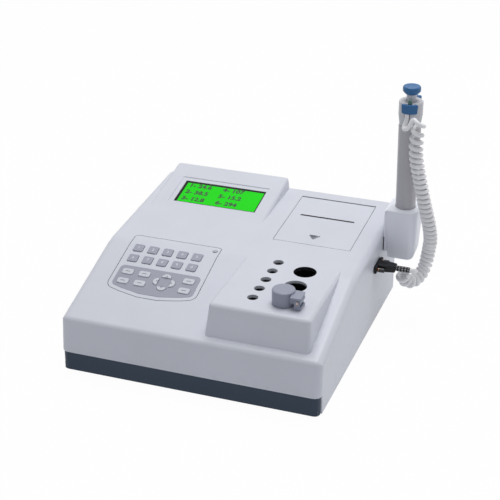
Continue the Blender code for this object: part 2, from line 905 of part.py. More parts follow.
def upper_housing(surface):
    shell = joined(body_form(), console_form(), block_form())
    low = -OVERRUN
    hollow = joined(body_form(WALL, low), console_form(WALL), block_form(WALL))
    shell = cut(shell, hollow)
    shell = joined(shell, *hinge_bosses(), *screw_columns())
    cutters = []
    band_rear = BAND_DEPTH + GAP
    cutters.append(box(-OVERRUN, BODY_WIDTH + OVERRUN, -OVERRUN, band_rear, -OVERRUN, BAND_TOP))
    # the keypad's recess follows the slope, and a window under it lets the keys through
    recess = prism(overlay_outline(-OVERLAY_CLEARANCE), BLOCK_BASE, REAR_HEIGHT)
    cutters.append(cut(recess, body_form(OVERLAY_THICKNESS + GAP)))
    cutters.append(prism(overlay_outline(OVERLAY_LEDGE), BLOCK_BASE, REAR_HEIGHT))
    cutters.append(
        slanted_recess(
            console, BEZEL_LEFT, BEZEL_RIGHT, BEZEL_FRONT, BEZEL_REAR, BEZEL_DEPTH, BEZEL_SLANT
        )
    )
    window = rectangle(
        SCREEN_LEFT, SCREEN_RIGHT, console.along(SCREEN_FRONT), console.along(SCREEN_REAR)
    )
    cutters.append(prism(window, -WALL - OVERRUN, OVERRUN, matrix=console.at()))
    through = BLOCK_TOP - WALL - OVERRUN
    for x, y in well_places():
        cutters.append(cylinder(x, y, WELL_RADIUS + WELL_RIM, through, REAR_HEIGHT, 16))
    for x, y in reagent_places():
        cutters.append(cylinder(x, y, REAGENT_RADIUS + WELL_RIM, through, REAR_HEIGHT, 28))
    channel = CHANNEL_RADIUS + CHANNEL_RIM
    cutters.append(cylinder(CHANNEL_X, CHANNEL_Y, channel, through, REAR_HEIGHT, 20))
    cutters.append(prism(door_outline(DOOR_CLEARANCE), -WALL - OVERRUN * 2, OVERRUN, matrix=deck.at()))
    cutters += hinge_sockets()
    for x, y in boss_places():
        low, high = BOSS_HEIGHT - OVERRUN, BOSS_HEIGHT + PILOT_DEPTH
        cutters.append(cylinder(x, y, PILOT_RADIUS, low, high, 10))
    rear = rectangle(
        REAR_OPENING_LEFT,
        REAR_OPENING_RIGHT,
        REAR_OPENING_BOTTOM,
        REAR_OPENING_TOP,
        REAR_OPENING_CORNER,
    )
    cutters.append(prism(rear, BODY_DEPTH - WALL - OVERRUN, BODY_DEPTH + OVERRUN, "Y"))
    socket = rectangle(
        PLUG_Y - SOCKET_HALF - GAP,
        PLUG_Y + SOCKET_HALF + GAP,
        PLUG_Z - SOCKET_HEIGHT / 2 - GAP,
        PLUG_Z + SOCKET_HEIGHT / 2 + GAP,
    )
    cutters.append(prism(socket, BODY_WIDTH - WALL - OVERRUN, BODY_WIDTH + OVERRUN, "X"))
    shell = cut(shell, *cutters)
    return finish("upper_housing", shell, surface)


def foot_places():
    return [
        (x, y)
        for x in (FOOT_X, BODY_WIDTH - FOOT_X)
        for y in (FOOT_FRONT_Y, FOOT_REAR_Y)
    ]


def main_board_posts():
    inset = STANDOFF_RADIUS * 2
    return [
        (x, y)
        for x in (MAIN_BOARD_LEFT + inset, MAIN_BOARD_RIGHT - inset)
        for y in (MAIN_BOARD_FRONT + inset, MAIN_BOARD_REAR - inset)
    ]


def supply_posts():
    inset = STANDOFF_RADIUS * 2
    return [
        (x, y)
        for x in (SUPPLY_LEFT + inset, SUPPLY_RIGHT - inset)
        for y in (SUPPLY_FRONT + inset, SUPPLY_REAR - inset)
    ]


# The tray fits inside the skirts and follows their rounded rear corners
def tray_outline(front, margin):
    left, right = INNER_LEFT + margin, INNER_RIGHT - margin
    rear = INNER_REAR - margin
    corner = SIDE_RADIUS - WALL - margin
    corners = [(left, front), (right, front), (right, rear), (left, rear)]
    return rounded(corners, [0.0, 0.0, corner, corner], 4)


def base_tray(surface):
    floor = prism(tray_outline(BAND_SETBACK + BAND_WALL / 2, 0.0), 0.0, BASE_LIP_HEIGHT)
    inside = tray_outline(-OVERRUN, BASE_LIP)
    floor = cut(floor, prism(inside, BASE_FLOOR, BASE_LIP_HEIGHT + OVERRUN))
    band_left, band_right = BAND_SIDE, BODY_WIDTH - BAND_SIDE
    radii = [BAND_CORNER, BAND_CORNER, 0.0, 0.0]
    corners = [
        (band_left, BAND_SETBACK),
        (band_right, BAND_SETBACK),
        (band_right, BAND_DEPTH),
        (band_left, BAND_DEPTH),
    ]
    band = prism(rounded(corners, radii, 4), 0.0, BAND_TOP - GAP)
    inner = moved_in(corners, [BAND_WALL, BAND_WALL, -OVERRUN, BAND_WALL])
    hollow_radii = [BAND_CORNER - BAND_WALL, BAND_CORNER - BAND_WALL, 0.0, 0.0]
    band = cut(band, prism(rounded(inner, hollow_radii, 4), BASE_FLOOR, BAND_TOP + OVERRUN))
    extras = [band]
    for x, y in boss_places():
        extras.append(cylinder(x, y, BOSS_RADIUS, GAP, BOSS_HEIGHT, 16))
    for x, y in main_board_posts() + supply_posts():
        high = BASE_FLOOR + STANDOFF_HEIGHT
        extras.append(cylinder(x, y, STANDOFF_RADIUS, GAP, high, 10))
    tray = joined(floor, *extras)
    cutters = []
    for x, y in boss_places():
        cutters.append(cylinder(x, y, SCREW_RADIUS, -OVERRUN, BOSS_HEIGHT + OVERRUN, 12))
        cutters.append(cylinder(x, y, COUNTERBORE_RADIUS, -OVERRUN, COUNTERBORE_DEPTH, 14))
    for x, y in foot_places():
        cutters.append(cylinder(x, y, STUD_RADIUS + GAP, -OVERRUN, BASE_FLOOR + OVERRUN, 12))
    half = (VENT_COUNT - 1) / 2
    for number in range(VENT_COUNT):
        middle = BODY_WIDTH / 2 + (number - half) * VENT_PITCH
        left, right = middle - VENT_WIDTH / 2, middle + VENT_WIDTH / 2
        low, high = -OVERRUN, BASE_FLOOR + OVERRUN
        front, rear = VENT_Y - VENT_LENGTH / 2, VENT_Y + VENT_LENGTH / 2
        cutters.append(box(left, right, front, rear, low, high))
    tray = cut(tray, *cutters)
    return finish("base_tray", tray, surface)


def feet(surface):
    profile = [
        (0.0, -FOOT_DROP),
        (FOOT_RADIUS - FOOT_CHAMFER, -FOOT_DROP),
        (FOOT_RADIUS, FOOT_CHAMFER - FOOT_DROP),
        (FOOT_RADIUS, -GAP),
        (STUD_RADIUS, -GAP),
        (STUD_RADIUS, STUD_LENGTH),
        (0.0, STUD_LENGTH),
    ]
    for number, (x, y) in enumerate(foot_places(), start=1):
        finish(f"foot_{number}", turned(profile, x, y, 12), surface)


# Keys stand square to the slope; each has its place and its outline about that place
def number_key_places():
    places = []
    for y in (NUMBER_REAR_Y, NUMBER_FRONT_Y):
        for column in range(NUMBER_COLUMNS):
            places.append((NUMBER_X + NUMBER_PITCH * column, y))
    return places


def rounded_key(width, height, corner, margin):
    half_width, half_height = width / 2 + margin, height / 2 + margin
    return rectangle(-half_width, half_width, -half_height, half_height, corner + margin, 1)


# Half a disc: its flat side faces the middle of the four arrows
def arrow_outline(turn, margin):
    radius = ARROW_RADIUS + margin
    arc = []
    for step in range(7):
        angle = pi * step / 6
        arc.append((radius * cos(angle), radius * sin(angle)))
    flat = [(-radius, -margin), (radius, -margin)] if margin > 0 else []
    arc = arc + flat
    turned_points = []
    for x, y in arc:
        out = y + ARROW_OFFSET
        turned_points.append((x * cos(turn) - out * sin(turn), x * sin(turn) + out * cos(turn)))
    return turned_points


def key_list():
    keys = []
    digits = [1, 2, 3, 4, 5, 6, 7, 8, 9, 0]
    for digit, (x, y) in zip(digits, number_key_places()):
        keys.append((f"key_{digit}", x, y, "number", 0.0))
    number = 0
    for y in (FUNCTION_REAR_Y, FUNCTION_FRONT_Y):
        for x in (FUNCTION_LEFT_X, FUNCTION_RIGHT_X):
            number += 1
            keys.append((f"function_key_{number}", x, y, "function", 0.0))
    keys.append(("key_enter", SIDE_KEY_X, FUNCTION_REAR_Y, "function", 0.0))
    keys.append(("key_escape", SIDE_KEY_X, FUNCTION_FRONT_Y, "function", 0.0))
    for name, turn in (("up", 0.0), ("left", pi / 2), ("down", pi), ("right", -pi / 2)):
        keys.append((f"arrow_{name}", ARROW_X, ARROW_Y, "arrow", turn))
    return keys


def key_outline(kind, turn, margin):
    if kind == "number":
        return rounded_key(NUMBER_SIZE, NUMBER_SIZE, NUMBER_CORNER, margin)
    if kind == "function":
        return rounded_key(FUNCTION_WIDTH, FUNCTION_HEIGHT, FUNCTION_CORNER, margin)
    return arrow_outline(turn, margin)


def scaled_outline(outline, share):
    x = sum(point[0] for point in outline) / len(outline)
    y = sum(point[1] for point in outline) / len(outline)
    return [(x + (u - x) * share, y + (v - y) * share) for u, v in outline]


def key_piece(name, x, y, kind, turn, surface):
    raised = PANEL_RISE if kind != "number" else 0.0
    crown = raised + KEY_RISE
    underside = -OVERLAY_THICKNESS - GAP
    sole = underside - KEY_FLANGE_THICKNESS
    stem = key_outline(kind, turn, 0.0)
    spread = ARROW_FLANGE if kind == "arrow" else KEY_FLANGE
    flange = key_outline(kind, turn, spread)
    share = 1 - 2 * KEY_EDGE / (ARROW_RADIUS + ARROW_RADIUS)
    face = scaled_outline(stem, share)
    frame = slope.at(x, y)
    key = loft(
        [
            [(u, v, underside - GAP / 2) for u, v in stem],
            [(u, v, crown - KEY_EDGE) for u, v in stem],
            [(u, v, crown) for u, v in face],
        ],
        frame,
    )
    key = joined(key, prism(flange, sole, underside, matrix=frame))
    return finish(name, key, surface, frame.translation)


def keypad_overlay(surface):
    plate = prism(overlay_outline(), BLOCK_BASE, REAR_HEIGHT)
    plate = common(plate, body_form())
    plate = cut(plate, body_form(OVERLAY_THICKNESS))
    field = prism(panel_outline(), BLOCK_BASE, REAR_HEIGHT)
    field = common(field, body_form(-PANEL_RISE))
    field = cut(field, body_form(OVERLAY_THICKNESS / 2))
    plate = joined(plate, field, *overlay_posts())
    cutters = []
    for name, x, y, kind, turn in key_list():
        hole = key_outline(kind, turn, KEY_CLEARANCE)
        low, high = -OVERLAY_THICKNESS - KEY_RISE, OVERRUN
        cutters.append(prism(hole, low, high, matrix=slope.at(x, y)))
    cutters.append(
        cylinder(0.0, 0.0, LED_RADIUS + GAP, -OVERRUN, OVERRUN, 14, matrix=led_frame())
    )
    plate = cut(plate, *cutters)
    return finish("keypad_overlay", plate, surface)


def led_frame():
    return deck.at(LED_X, LED_Y)


def board_top():
    return -OVERLAY_THICKNESS - POST_LENGTH - GAP


def post_places():
    left, right = OVERLAY_LEFT + POST_INSET, OVERLAY_RIGHT - POST_INSET
    middle = (NUMBER_FRONT_Y + PANEL_REAR) / 2
    return [(left, middle), (right, middle), (MIDDLE_POST_X, FUNCTION_FRONT_Y)]


def overlay_posts():
    posts = []
    for x, y in post_places():
        low, high = board_top() + GAP, -OVERLAY_THICKNESS / 2
        posts.append(cylinder(0.0, 0.0, POST_RADIUS, low, high, 10, matrix=slope.at(x, y)))
    return posts


def keypad_board(surface):
    high = board_top()
    low = high - BOARD_THICKNESS
    outline = rectangle(
        OVERLAY_LEFT + BOARD_MARGIN,
        OVERLAY_RIGHT - BOARD_MARGIN,
        slope.along(OVERLAY_FRONT),
        slope.along(OVERLAY_REAR - BOARD_MARGIN),
    )
    board = prism(outline, low, high, matrix=slope.at())
    return finish("keypad_board", board, surface)


def power_led(surface):
    profile = [
        (0.0, -LED_DEPTH),
        (LED_RADIUS, -LED_DEPTH),
        (LED_RADIUS, LED_RISE - LED_RISE / 2),
        (LED_RADIUS * LED_DOME_SHARE, LED_RISE),
        (0.0, LED_RISE),
    ]
    return finish("power_led", turned(profile, count=14, matrix=led_frame()), surface)


# The display's frame lies under the console's top, and its glass stands up into the window
def lcd_module(surface):
    top = -WALL - GAP
    left, right = SCREEN_LEFT - MODULE_MARGIN, SCREEN_RIGHT + MODULE_MARGIN
    front = console.along(SCREEN_FRONT) - MODULE_MARGIN
    rear = console.along(SCREEN_REAR) + MODULE_MARGIN
    frame = prism(rectangle(left, right, front, rear), top - MODULE_DEPTH, top, matrix=console.at())
    glass = rectangle(
        SCREEN_LEFT + GAP,
        SCREEN_RIGHT - GAP,
        console.along(SCREEN_FRONT) + GAP,
        console.along(SCREEN_REAR) - GAP,
    )
    glass = prism(glass, top - GAP, top + GLASS_RISE, matrix=console.at())
    return finish("lcd_module", joined(frame, glass), surface)


def heater_top():
    return BLOCK_TOP - WALL - GAP


# A heated block with a ledge round its foot and bores from above
def heated_block(name, left, right, front, rear, bores, surface):
    high = heater_top()
    deepest = max(depth for x, y, radius, depth in bores)
    low = high - deepest - HEATER_FLOOR
    body = prism(rectangle(left, right, front, rear, HEATER_CORNER, 3), low, high)
    slot_low, slot_high = low + HEATER_FLOOR, low + HEATER_LEDGE
    cutters = []
    for x, y, radius, depth in bores:
        count = 28 if radius > WELL_RADIUS else 16
        cutters.append(cylinder(x, y, radius, high - depth, high + OVERRUN, count))
    groove = box(
        right - HEATER_WALL / 2, right + OVERRUN, front - OVERRUN, rear + OVERRUN, slot_low, slot_high
    )
    cutters.append(groove)
    body = cut(body, *cutters)
    return finish(name, body, surface)


def heaters(surface):
    edge = WELL_RADIUS + HEATER_WALL
    bores = [(x, y, WELL_RADIUS, WELL_DEPTH) for x, y in well_places()]
    last = WELL_Y + WELL_PITCH * (WELL_COUNT - 1)
    heated_block(
        "incubation_block", WELL_X - edge, WELL_X + edge, WELL_Y - edge, last + edge, bores, surface
    )
    edge = REAGENT_RADIUS + HEATER_WALL
    bores = [(x, y, REAGENT_RADIUS, REAGENT_DEPTH) for x, y in reagent_places()]
    bores.append((CHANNEL_X, CHANNEL_Y, CHANNEL_RADIUS, CHANNEL_DEPTH))
    front = CHANNEL_Y - CHANNEL_RADIUS - CHANNEL_RIM - HEATER_WALL
    rear = REAGENT_REAR_Y + edge
    heated_block(
        "measuring_block", REAGENT_X - edge, REAGENT_X + edge, front, rear, bores, surface
    )


def pin_frame(y):
    return along_y(PIN_X, y, PIN_Z)


def channel_cap(surface):
    low = BLOCK_TOP + GAP
    profile = [
        (0.0, low + CAP_RECESS_DEPTH),
        (CAP_RECESS_RADIUS, low + CAP_RECESS_DEPTH),
        (CAP_RECESS_RADIUS + CAP_EDGE / 2, low),
        (CAP_RADIUS - CAP_EDGE / 2, low),
        (CAP_RADIUS, low + CAP_EDGE / 2),
        (CAP_RADIUS, CAP_TOP - CAP_EDGE),
        (CAP_RADIUS - CAP_EDGE / 3, CAP_TOP - CAP_EDGE / 3),
        (CAP_RADIUS - CAP_EDGE, CAP_TOP),
        (0.0, CAP_TOP),
    ]
    drum = turned(profile, CHANNEL_X, CHANNEL_Y, 24)
    front, rear = knuckle_span()
    arm = box(CHANNEL_X, PIN_X, front, rear, PIN_Z - KNUCKLE_RADIUS, ARM_TOP)
    knuckle = cylinder(PIN_X, PIN_Z, KNUCKLE_RADIUS, front, rear, 20, "Y")
    hood_low = PIN_Z + KNUCKLE_RADIUS + GAP
    hood_right = PIN_X + KNUCKLE_RADIUS
    hood = rectangle(
        hood_right - HOOD_REACH - KNUCKLE_RADIUS,
        hood_right,
        BRACKET_FRONT - HOOD_OVERHANG,
        BRACKET_REAR + HOOD_OVERHANG,
        HOOD_OVERHANG,
        2,
    )
    hood = prism(hood, hood_low, hood_low + HOOD_THICKNESS)
    cap = joined(drum, arm, knuckle, hood)
    bore = cylinder(
        PIN_X, PIN_Z, PIN_RADIUS + GAP, BRACKET_FRONT, BRACKET_REAR, 14, "Y"
    )
    cap = cut(cap, bore)
    return finish("channel_cap", cap, surface, (PIN_X, (front + rear) / 2, PIN_Z))


def knuckle_span():
    return BRACKET_FRONT + EAR_THICKNESS + GAP, BRACKET_REAR - EAR_THICKNESS - GAP


# The ears are cut back under the pin on the right, so that the open cap's hood clears them
def cap_bracket(surface):
    low = BLOCK_TOP + GAP
    left, right = PIN_X - KNUCKLE_RADIUS, PIN_X + KNUCKLE_RADIUS
    base = box(left, right, BRACKET_FRONT, BRACKET_REAR, low, low + BRACKET_THICKNESS)
    pieces = [base]
    cut_back = radians(EAR_CUT_ANGLE)
    for front in (BRACKET_FRONT, BRACKET_REAR - EAR_THICKNESS):
        ear = [(left, low), (PIN_X + KNUCKLE_RADIUS * cos(cut_back), low)]
        for step in range(11):
            angle = (pi + cut_back) * step / 10 - cut_back
            ear.append((PIN_X + KNUCKLE_RADIUS * cos(angle), PIN_Z + KNUCKLE_RADIUS * sin(angle)))
        pieces.append(prism(ear, front, front + EAR_THICKNESS, "Y"))
    bracket = joined(*pieces)
    bore = cylinder(
        PIN_X, PIN_Z, PIN_RADIUS + GAP, BRACKET_FRONT - OVERRUN, BRACKET_REAR + OVERRUN, 14, "Y"
    )
    return finish("cap_bracket", cut(bracket, bore), surface)


def cap_pin(surface):
    length = BRACKET_REAR - BRACKET_FRONT + PIN_OVERHANG
    profile = [
        (0.0, -GAP - PIN_HEAD_LENGTH),
        (PIN_HEAD_RADIUS - PIN_OVERHANG, -GAP - PIN_HEAD_LENGTH),
        (PIN_HEAD_RADIUS, -GAP - PIN_HEAD_LENGTH / 2),
        (PIN_HEAD_RADIUS, -GAP),
        (PIN_RADIUS, -GAP),
        (PIN_RADIUS, length - PIN_OVERHANG / 2),
        (PIN_RADIUS - PIN_OVERHANG / 2, length),
        (0.0, length),
    ]
    return finish("cap_pin", turned(profile, count=14, matrix=pin_frame(BRACKET_FRONT)), surface)


def printer_door(surface):
    along, depth = hinge_centre()
    front = deck.along(DOOR_FRONT)
    profile = [(front, 0.0), (front, -DOOR_THICKNESS), (along, -DOOR_THICKNESS)]
    for step in range(1, 13):
        angle = -pi / 2 - radians(15.0) + (pi + radians(15.0)) * step / 12
        profile.append((along + DOOR_BARREL * cos(angle), depth + DOOR_BARREL * sin(angle)))
    plate = prism(profile, DOOR_LEFT, DOOR_RIGHT, "X", deck.at())
    stubs = []
    for edge, way in hinge_sides():
        inner, outer = edge - way * HINGE_STUB_LENGTH, edge + way * HINGE_STUB_LENGTH
        low, high = min(inner, outer), max(inner, outer)
        stubs.append(cylinder(along, depth, HINGE_STUB_RADIUS, low, high, 12, "X", deck.at()))
    for number in range(MARK_COUNT):
        half = MARK_WIDTH / 2 - number * MARK_WIDTH / (2 * MARK_COUNT)
        middle = deck.along(MARK_Y) - number * MARK_STEP
        outline = rectangle(MARK_X - half, MARK_X + half, middle, middle + MARK_BAR)
        stubs.append(prism(outline, -MARK_RISE, MARK_RISE, matrix=deck.at()))
    plate = joined(plate, *stubs)
    cutters = []
    slot_y = deck.along(PAPER_SLOT_Y)
    slot = rectangle(
        PAPER_SLOT_LEFT,
        PAPER_SLOT_RIGHT,
        slot_y - PAPER_SLOT_WIDTH / 2,
        slot_y + PAPER_SLOT_WIDTH / 2,
    )
    cutters.append(prism(slot, -DOOR_THICKNESS - OVERRUN, OVERRUN, matrix=deck.at()))
    first, last = front + DOOR_RIM, slot_y - DOOR_RIM
    width = (DOOR_RIGHT - DOOR_LEFT - 2 * DOOR_RIM + DOOR_RIB) / DOOR_RIB_COUNT
    for low, high in ((first, last), (slot_y + DOOR_RIM, along - DOOR_RIM)):
        for number in range(DOOR_RIB_COUNT):
            left = DOOR_LEFT + DOOR_RIM + width * number
            outline = rectangle(left, left + width - DOOR_RIB, low, high)
            cutters.append(
                prism(outline, -DOOR_THICKNESS - OVERRUN, -DOOR_SKIN, matrix=deck.at())
            )
    door = cut(plate, *cutters)
    pivot = deck.at() @ Vector(((DOOR_LEFT + DOOR_RIGHT) / 2, along, depth))
    return finish("printer_door", door, surface, pivot)


# A slot for a shaft that is dropped in from above
def drop_slot(y, depth, radius, left, right):
    along = deck.along(y)
    outline = []
    for step in range(9):
        angle = pi + pi * step / 8
        outline.append((along + radius * cos(angle), -depth + radius * sin(angle)))
    outline += [(along + radius, OVERRUN), (along - radius, OVERRUN)]
    return prism(outline, left, right, "X", deck.at())


def printer_frame(surface):
    top = -DOOR_THICKNESS - GAP
    front, rear = deck.along(BAY_FRONT), deck.along(BAY_REAR)
    frame = deck.at()
    tub = prism(rectangle(BAY_LEFT, BAY_RIGHT, front, rear), -BAY_DEPTH, top, matrix=frame)
    flange = rectangle(
        BAY_LEFT - BAY_FLANGE, BAY_RIGHT + BAY_FLANGE, front - BAY_FLANGE, rear - GAP, WALL, 2
    )
    flange = prism(flange, top - BAY_FLANGE_THICKNESS, top, matrix=frame)
    body = joined(tub, flange)
    inner_left, inner_right = BAY_LEFT + BAY_WALL, BAY_RIGHT - BAY_WALL
    cheek = CHEEK_THICKNESS
    inside = prism(
        rectangle(inner_left + cheek, inner_right - cheek, front + BAY_WALL, rear - BAY_WALL),
        BAY_WALL - BAY_DEPTH,
        OVERRUN,
        matrix=frame,
    )
    body = cut(body, inside)
    head = prism(
        rectangle(
            inner_left,
            inner_right,
            deck.along(HEAD_FRONT),
            deck.along(HEAD_REAR),
        ),
        -HEAD_BOTTOM_DEPTH,
        -HEAD_TOP_DEPTH,
        matrix=frame,
    )
    body = joined(body, head)
    left, right = BAY_LEFT + BAY_WALL, BAY_RIGHT - BAY_WALL
    roll_slot = drop_slot(ROLL_Y, ROLL_AXIS_DEPTH, SPINDLE_END_RADIUS + GAP, left, right)
    shaft_slot = drop_slot(PLATEN_Y, PLATEN_AXIS_DEPTH, PLATEN_SHAFT_RADIUS + GAP, left, right)
    return finish("printer_frame", cut(body, roll_slot, shaft_slot), surface)


def bay_point(y, depth):
    return deck.at() @ Vector(((BAY_LEFT + BAY_RIGHT) / 2, deck.along(y), -depth))


# Pieces turned about a line across the bay are drawn about its middle
def across_bay(y, depth):
    point = bay_point(y, depth)
    return along_x(point.x, point.y, point.z), point


def paper_roll(surface):
    frame, point = across_bay(ROLL_Y, ROLL_AXIS_DEPTH)
    half = ROLL_WIDTH / 2
    bore = CORE_RADIUS
    profile = [
        (bore, -half),
        (ROLL_RADIUS, -half),
        (ROLL_RADIUS, half),
        (bore, half),
    ]
    roll = turned(profile, count=32, matrix=frame, closed=True)
    return finish("paper_roll", roll, surface, point)


def roll_spindle(surface):
    frame, point = across_bay(ROLL_Y, ROLL_AXIS_DEPTH)
    half = ROLL_WIDTH / 2
    reach = (BAY_RIGHT - BAY_LEFT) / 2 - BAY_WALL - GAP
    body = CORE_RADIUS - GAP
    end = SPINDLE_END_RADIUS
    profile = [
        (0.0, -reach),
        (end - SPINDLE_END_CHAMFER, -reach),
        (end, SPINDLE_END_CHAMFER - reach),
        (end, -half),
        (body, -half),
        (body, half),
        (end, half),
        (end, reach - SPINDLE_END_CHAMFER),
        (end - SPINDLE_END_CHAMFER, reach),
        (0.0, reach),
    ]
    return finish("roll_spindle", turned(profile, count=16, matrix=frame), surface, point)


def platen_roller(surface):
    frame, point = across_bay(PLATEN_Y, PLATEN_AXIS_DEPTH)
    half = PLATEN_WIDTH / 2
    reach = (BAY_RIGHT - BAY_LEFT) / 2 - BAY_WALL - GAP
    profile = [
        (0.0, -reach),
        (PLATEN_SHAFT_RADIUS, -reach),
        (PLATEN_SHAFT_RADIUS, -half),
        (PLATEN_RADIUS, -half),
        (PLATEN_RADIUS, half),
        (PLATEN_SHAFT_RADIUS, half),
        (PLATEN_SHAFT_RADIUS, reach),
        (0.0, reach),
    ]
    return finish("platen_roller", turned(profile, count=16, matrix=frame), surface, point)


def inlet_outline(width, height, corner, middle_x):
    left, right = middle_x - width / 2, middle_x + width / 2
    low, high = PORTS_Z - height / 2, PORTS_Z + height / 2
    if not corner:
        return rectangle(left, right, low, high)
    return [
        (left, low),
        (right, low),
        (right, high - corner),
        (right - corner, high),
        (left + corner, high),
        (left, high - corner),
    ]


# The metal plate behind the rear opening carries the sockets and vents
def panel_face():
    return BODY_DEPTH - WALL - GAP


def rear_panel(surface):
    rear = panel_face()
    outline = rectangle(
        REAR_OPENING_LEFT - PANEL_LAP,
        REAR_OPENING_RIGHT + PANEL_LAP,
        REAR_OPENING_BOTTOM - PANEL_LAP,
        REAR_OPENING_TOP + PANEL_LAP,
    )
    plate = prism(outline, rear - PANEL_THICKNESS, rear, "Y")
    near, far = rear - PANEL_THICKNESS - OVERRUN, rear + OVERRUN
    cutters = []
    for middle, width, height in (
        (INLET_X, INLET_WIDTH, INLET_HEIGHT),
        (SWITCH_X, SWITCH_WIDTH + SWITCH_RIM, SWITCH_HEIGHT + SWITCH_RIM),
        (PORT_X, PORT_WIDTH, PORT_HEIGHT),
    ):
        hole = inlet_outline(width + GAP * 2, height + GAP * 2, 0.0, middle)
        cutters.append(prism(hole, near, far, "Y"))
    for number in range(PANEL_SLOT_COUNT):
        left = PANEL_SLOT_X + PANEL_SLOT_PITCH * number
        low = PANEL_SLOT_Z - PANEL_SLOT_HEIGHT / 2
        slot = rectangle(left, left + PANEL_SLOT_WIDTH, low, low + PANEL_SLOT_HEIGHT)
        cutters.append(prism(slot, near, far, "Y"))
    return finish("rear_panel", cut(plate, *cutters), surface)


def power_inlet(surface):
    face = panel_face() + GAP
    rim = prism(
        inlet_outline(
            INLET_WIDTH + INLET_FLANGE, INLET_HEIGHT + INLET_FLANGE, 0.0, INLET_X
        ),
        face,
        face + INLET_FLANGE_THICKNESS,
        "Y",
    )
    body = inlet_outline(INLET_WIDTH, INLET_HEIGHT, 0.0, INLET_X)
    body = prism(body, face - INLET_BODY_DEPTH, face + INLET_FLANGE_THICKNESS / 2, "Y")
    mouth = inlet_outline(INLET_MOUTH_WIDTH, INLET_MOUTH_HEIGHT, INLET_MOUTH_CORNER, INLET_X)
    end = face + INLET_FLANGE_THICKNESS
    inlet = cut(joined(body, rim), prism(mouth, end - INLET_MOUTH_DEPTH, end + OVERRUN, "Y"))
    blades = []
    rise = INLET_MOUTH_HEIGHT / 8
    for number, lift in ((-1, -rise), (0, rise), (1, -rise)):
        middle = INLET_X + BLADE_SPACING * number
        low = PORTS_Z + lift - BLADE_HEIGHT / 2
        blade = rectangle(
            middle - BLADE_WIDTH / 2, middle + BLADE_WIDTH / 2, low, low + BLADE_HEIGHT
        )
        start = end - INLET_MOUTH_DEPTH
        blades.append(prism(blade, start - OVERRUN / 2, start + BLADE_LENGTH, "Y"))
    return finish("power_inlet", joined(inlet, *blades), surface)


def switch_frame(surface):
    face = panel_face() + GAP
    rim = SWITCH_RIM * 2
    outer = inlet_outline(SWITCH_WIDTH + rim, SWITCH_HEIGHT + rim, 0.0, SWITCH_X)
    frame = prism(outer, face, face + SWITCH_RIM_THICKNESS, "Y")
    body = inlet_outline(SWITCH_WIDTH + SWITCH_RIM, SWITCH_HEIGHT + SWITCH_RIM, 0.0, SWITCH_X)
    body = prism(body, face - SWITCH_BODY_DEPTH, face + GAP, "Y")
    inner = inlet_outline(SWITCH_WIDTH, SWITCH_HEIGHT, 0.0, SWITCH_X)
    hollow = prism(inner, face - SWITCH_BODY_DEPTH + SWITCH_RIM, face + OVERRUN, "Y")
    return finish("switch_frame", cut(joined(frame, body), hollow), surface)


def rocker_pivot():
    return Vector((SWITCH_X, panel_face() + GAP - ROCKER_DEPTH / 2, PORTS_Z))


# The rocker's face has two flats that meet at its middle; it is drawn level and then tipped
def power_rocker(surface):
    pivot = rocker_pivot()
    half = SWITCH_HEIGHT / 2 - ROCKER_CLEARANCE * 3
    tilt = radians(ROCKER_TILT)
    outline = [
        (-half * cos(tilt), ROCKER_FACE + half * sin(tilt) / 2),
        (-half * cos(tilt) + ROCKER_CLEARANCE, -ROCKER_DEPTH / 2),
        (-ROCKER_DEPTH / 2, -ROCKER_DEPTH),
        (ROCKER_DEPTH / 2, -ROCKER_DEPTH),
        (half * cos(tilt) - ROCKER_CLEARANCE, -ROCKER_DEPTH / 2),
        (half * cos(tilt), ROCKER_FACE + half * sin(tilt) / 2),
        (0.0, ROCKER_FACE),
    ]
    side = SWITCH_WIDTH / 2 - ROCKER_CLEARANCE
    points = [(out, up) for up, out in outline]
    frame = Matrix.Translation(pivot) @ Matrix.Rotation(tilt, 4, "X")
    return finish("power_rocker", prism(points, -side, side, "X", frame), surface, pivot)


def port_outline(width, height):
    slant = PORT_SLANT_SHARE * width
    left, right = PORT_X - width / 2, PORT_X + width / 2
    low, high = PORTS_Z - height / 2, PORTS_Z + height / 2
    corners = [(left + slant, low), (right - slant, low), (right, high), (left, high)]
    return rounded(corners, PORT_HEIGHT / 6, 2)


def serial_port(surface):
    face = panel_face() + GAP
    flange = inlet_outline(PORT_FLANGE_WIDTH, PORT_FLANGE_HEIGHT, 0.0, PORT_X)
    flange = prism(flange, face, face + PORT_FLANGE_THICKNESS, "Y")
    margin = GAP * 2
    shell = port_outline(PORT_WIDTH - margin, PORT_HEIGHT - margin)
    shell = prism(shell, face - PORT_BODY_DEPTH, face + PORT_RISE, "Y")
    nuts = []
    for way in (-1.0, 1.0):
        x = PORT_X + way * PORT_NUT_SPACING / 2
        nuts.append(cylinder(x, PORTS_Z, PORT_NUT_RADIUS, face + GAP, face + PORT_RISE, 6, "Y"))
    port = joined(flange, shell, *nuts)
    holes = []
    for way in (-1.0, 1.0):
        x = PORT_X + way * PORT_NUT_SPACING / 2
        holes.append(cylinder(x, PORTS_Z, PORT_NUT_HOLE, face - OVERRUN, face + OVERRUN, 8, "Y"))
    for row, count in ((1, 5), (-1, 4)):
        pitch = PORT_WIDTH / (count + 2 if row > 0 else count + 3)
        for number in range(count):
            x = PORT_X + (number - (count - 1) / 2) * pitch
            z = PORTS_Z + row * PORT_HEIGHT / 6
            low, high = face + PORT_RISE - PORT_NUT_RADIUS, face + OVERRUN
            holes.append(cylinder(x, z, PORT_NUT_HOLE / 2, low, high, 6, "Y"))
    return finish("serial_port", cut(port, *holes), surface)


def board_height():
    return BASE_FLOOR + STANDOFF_HEIGHT + GAP


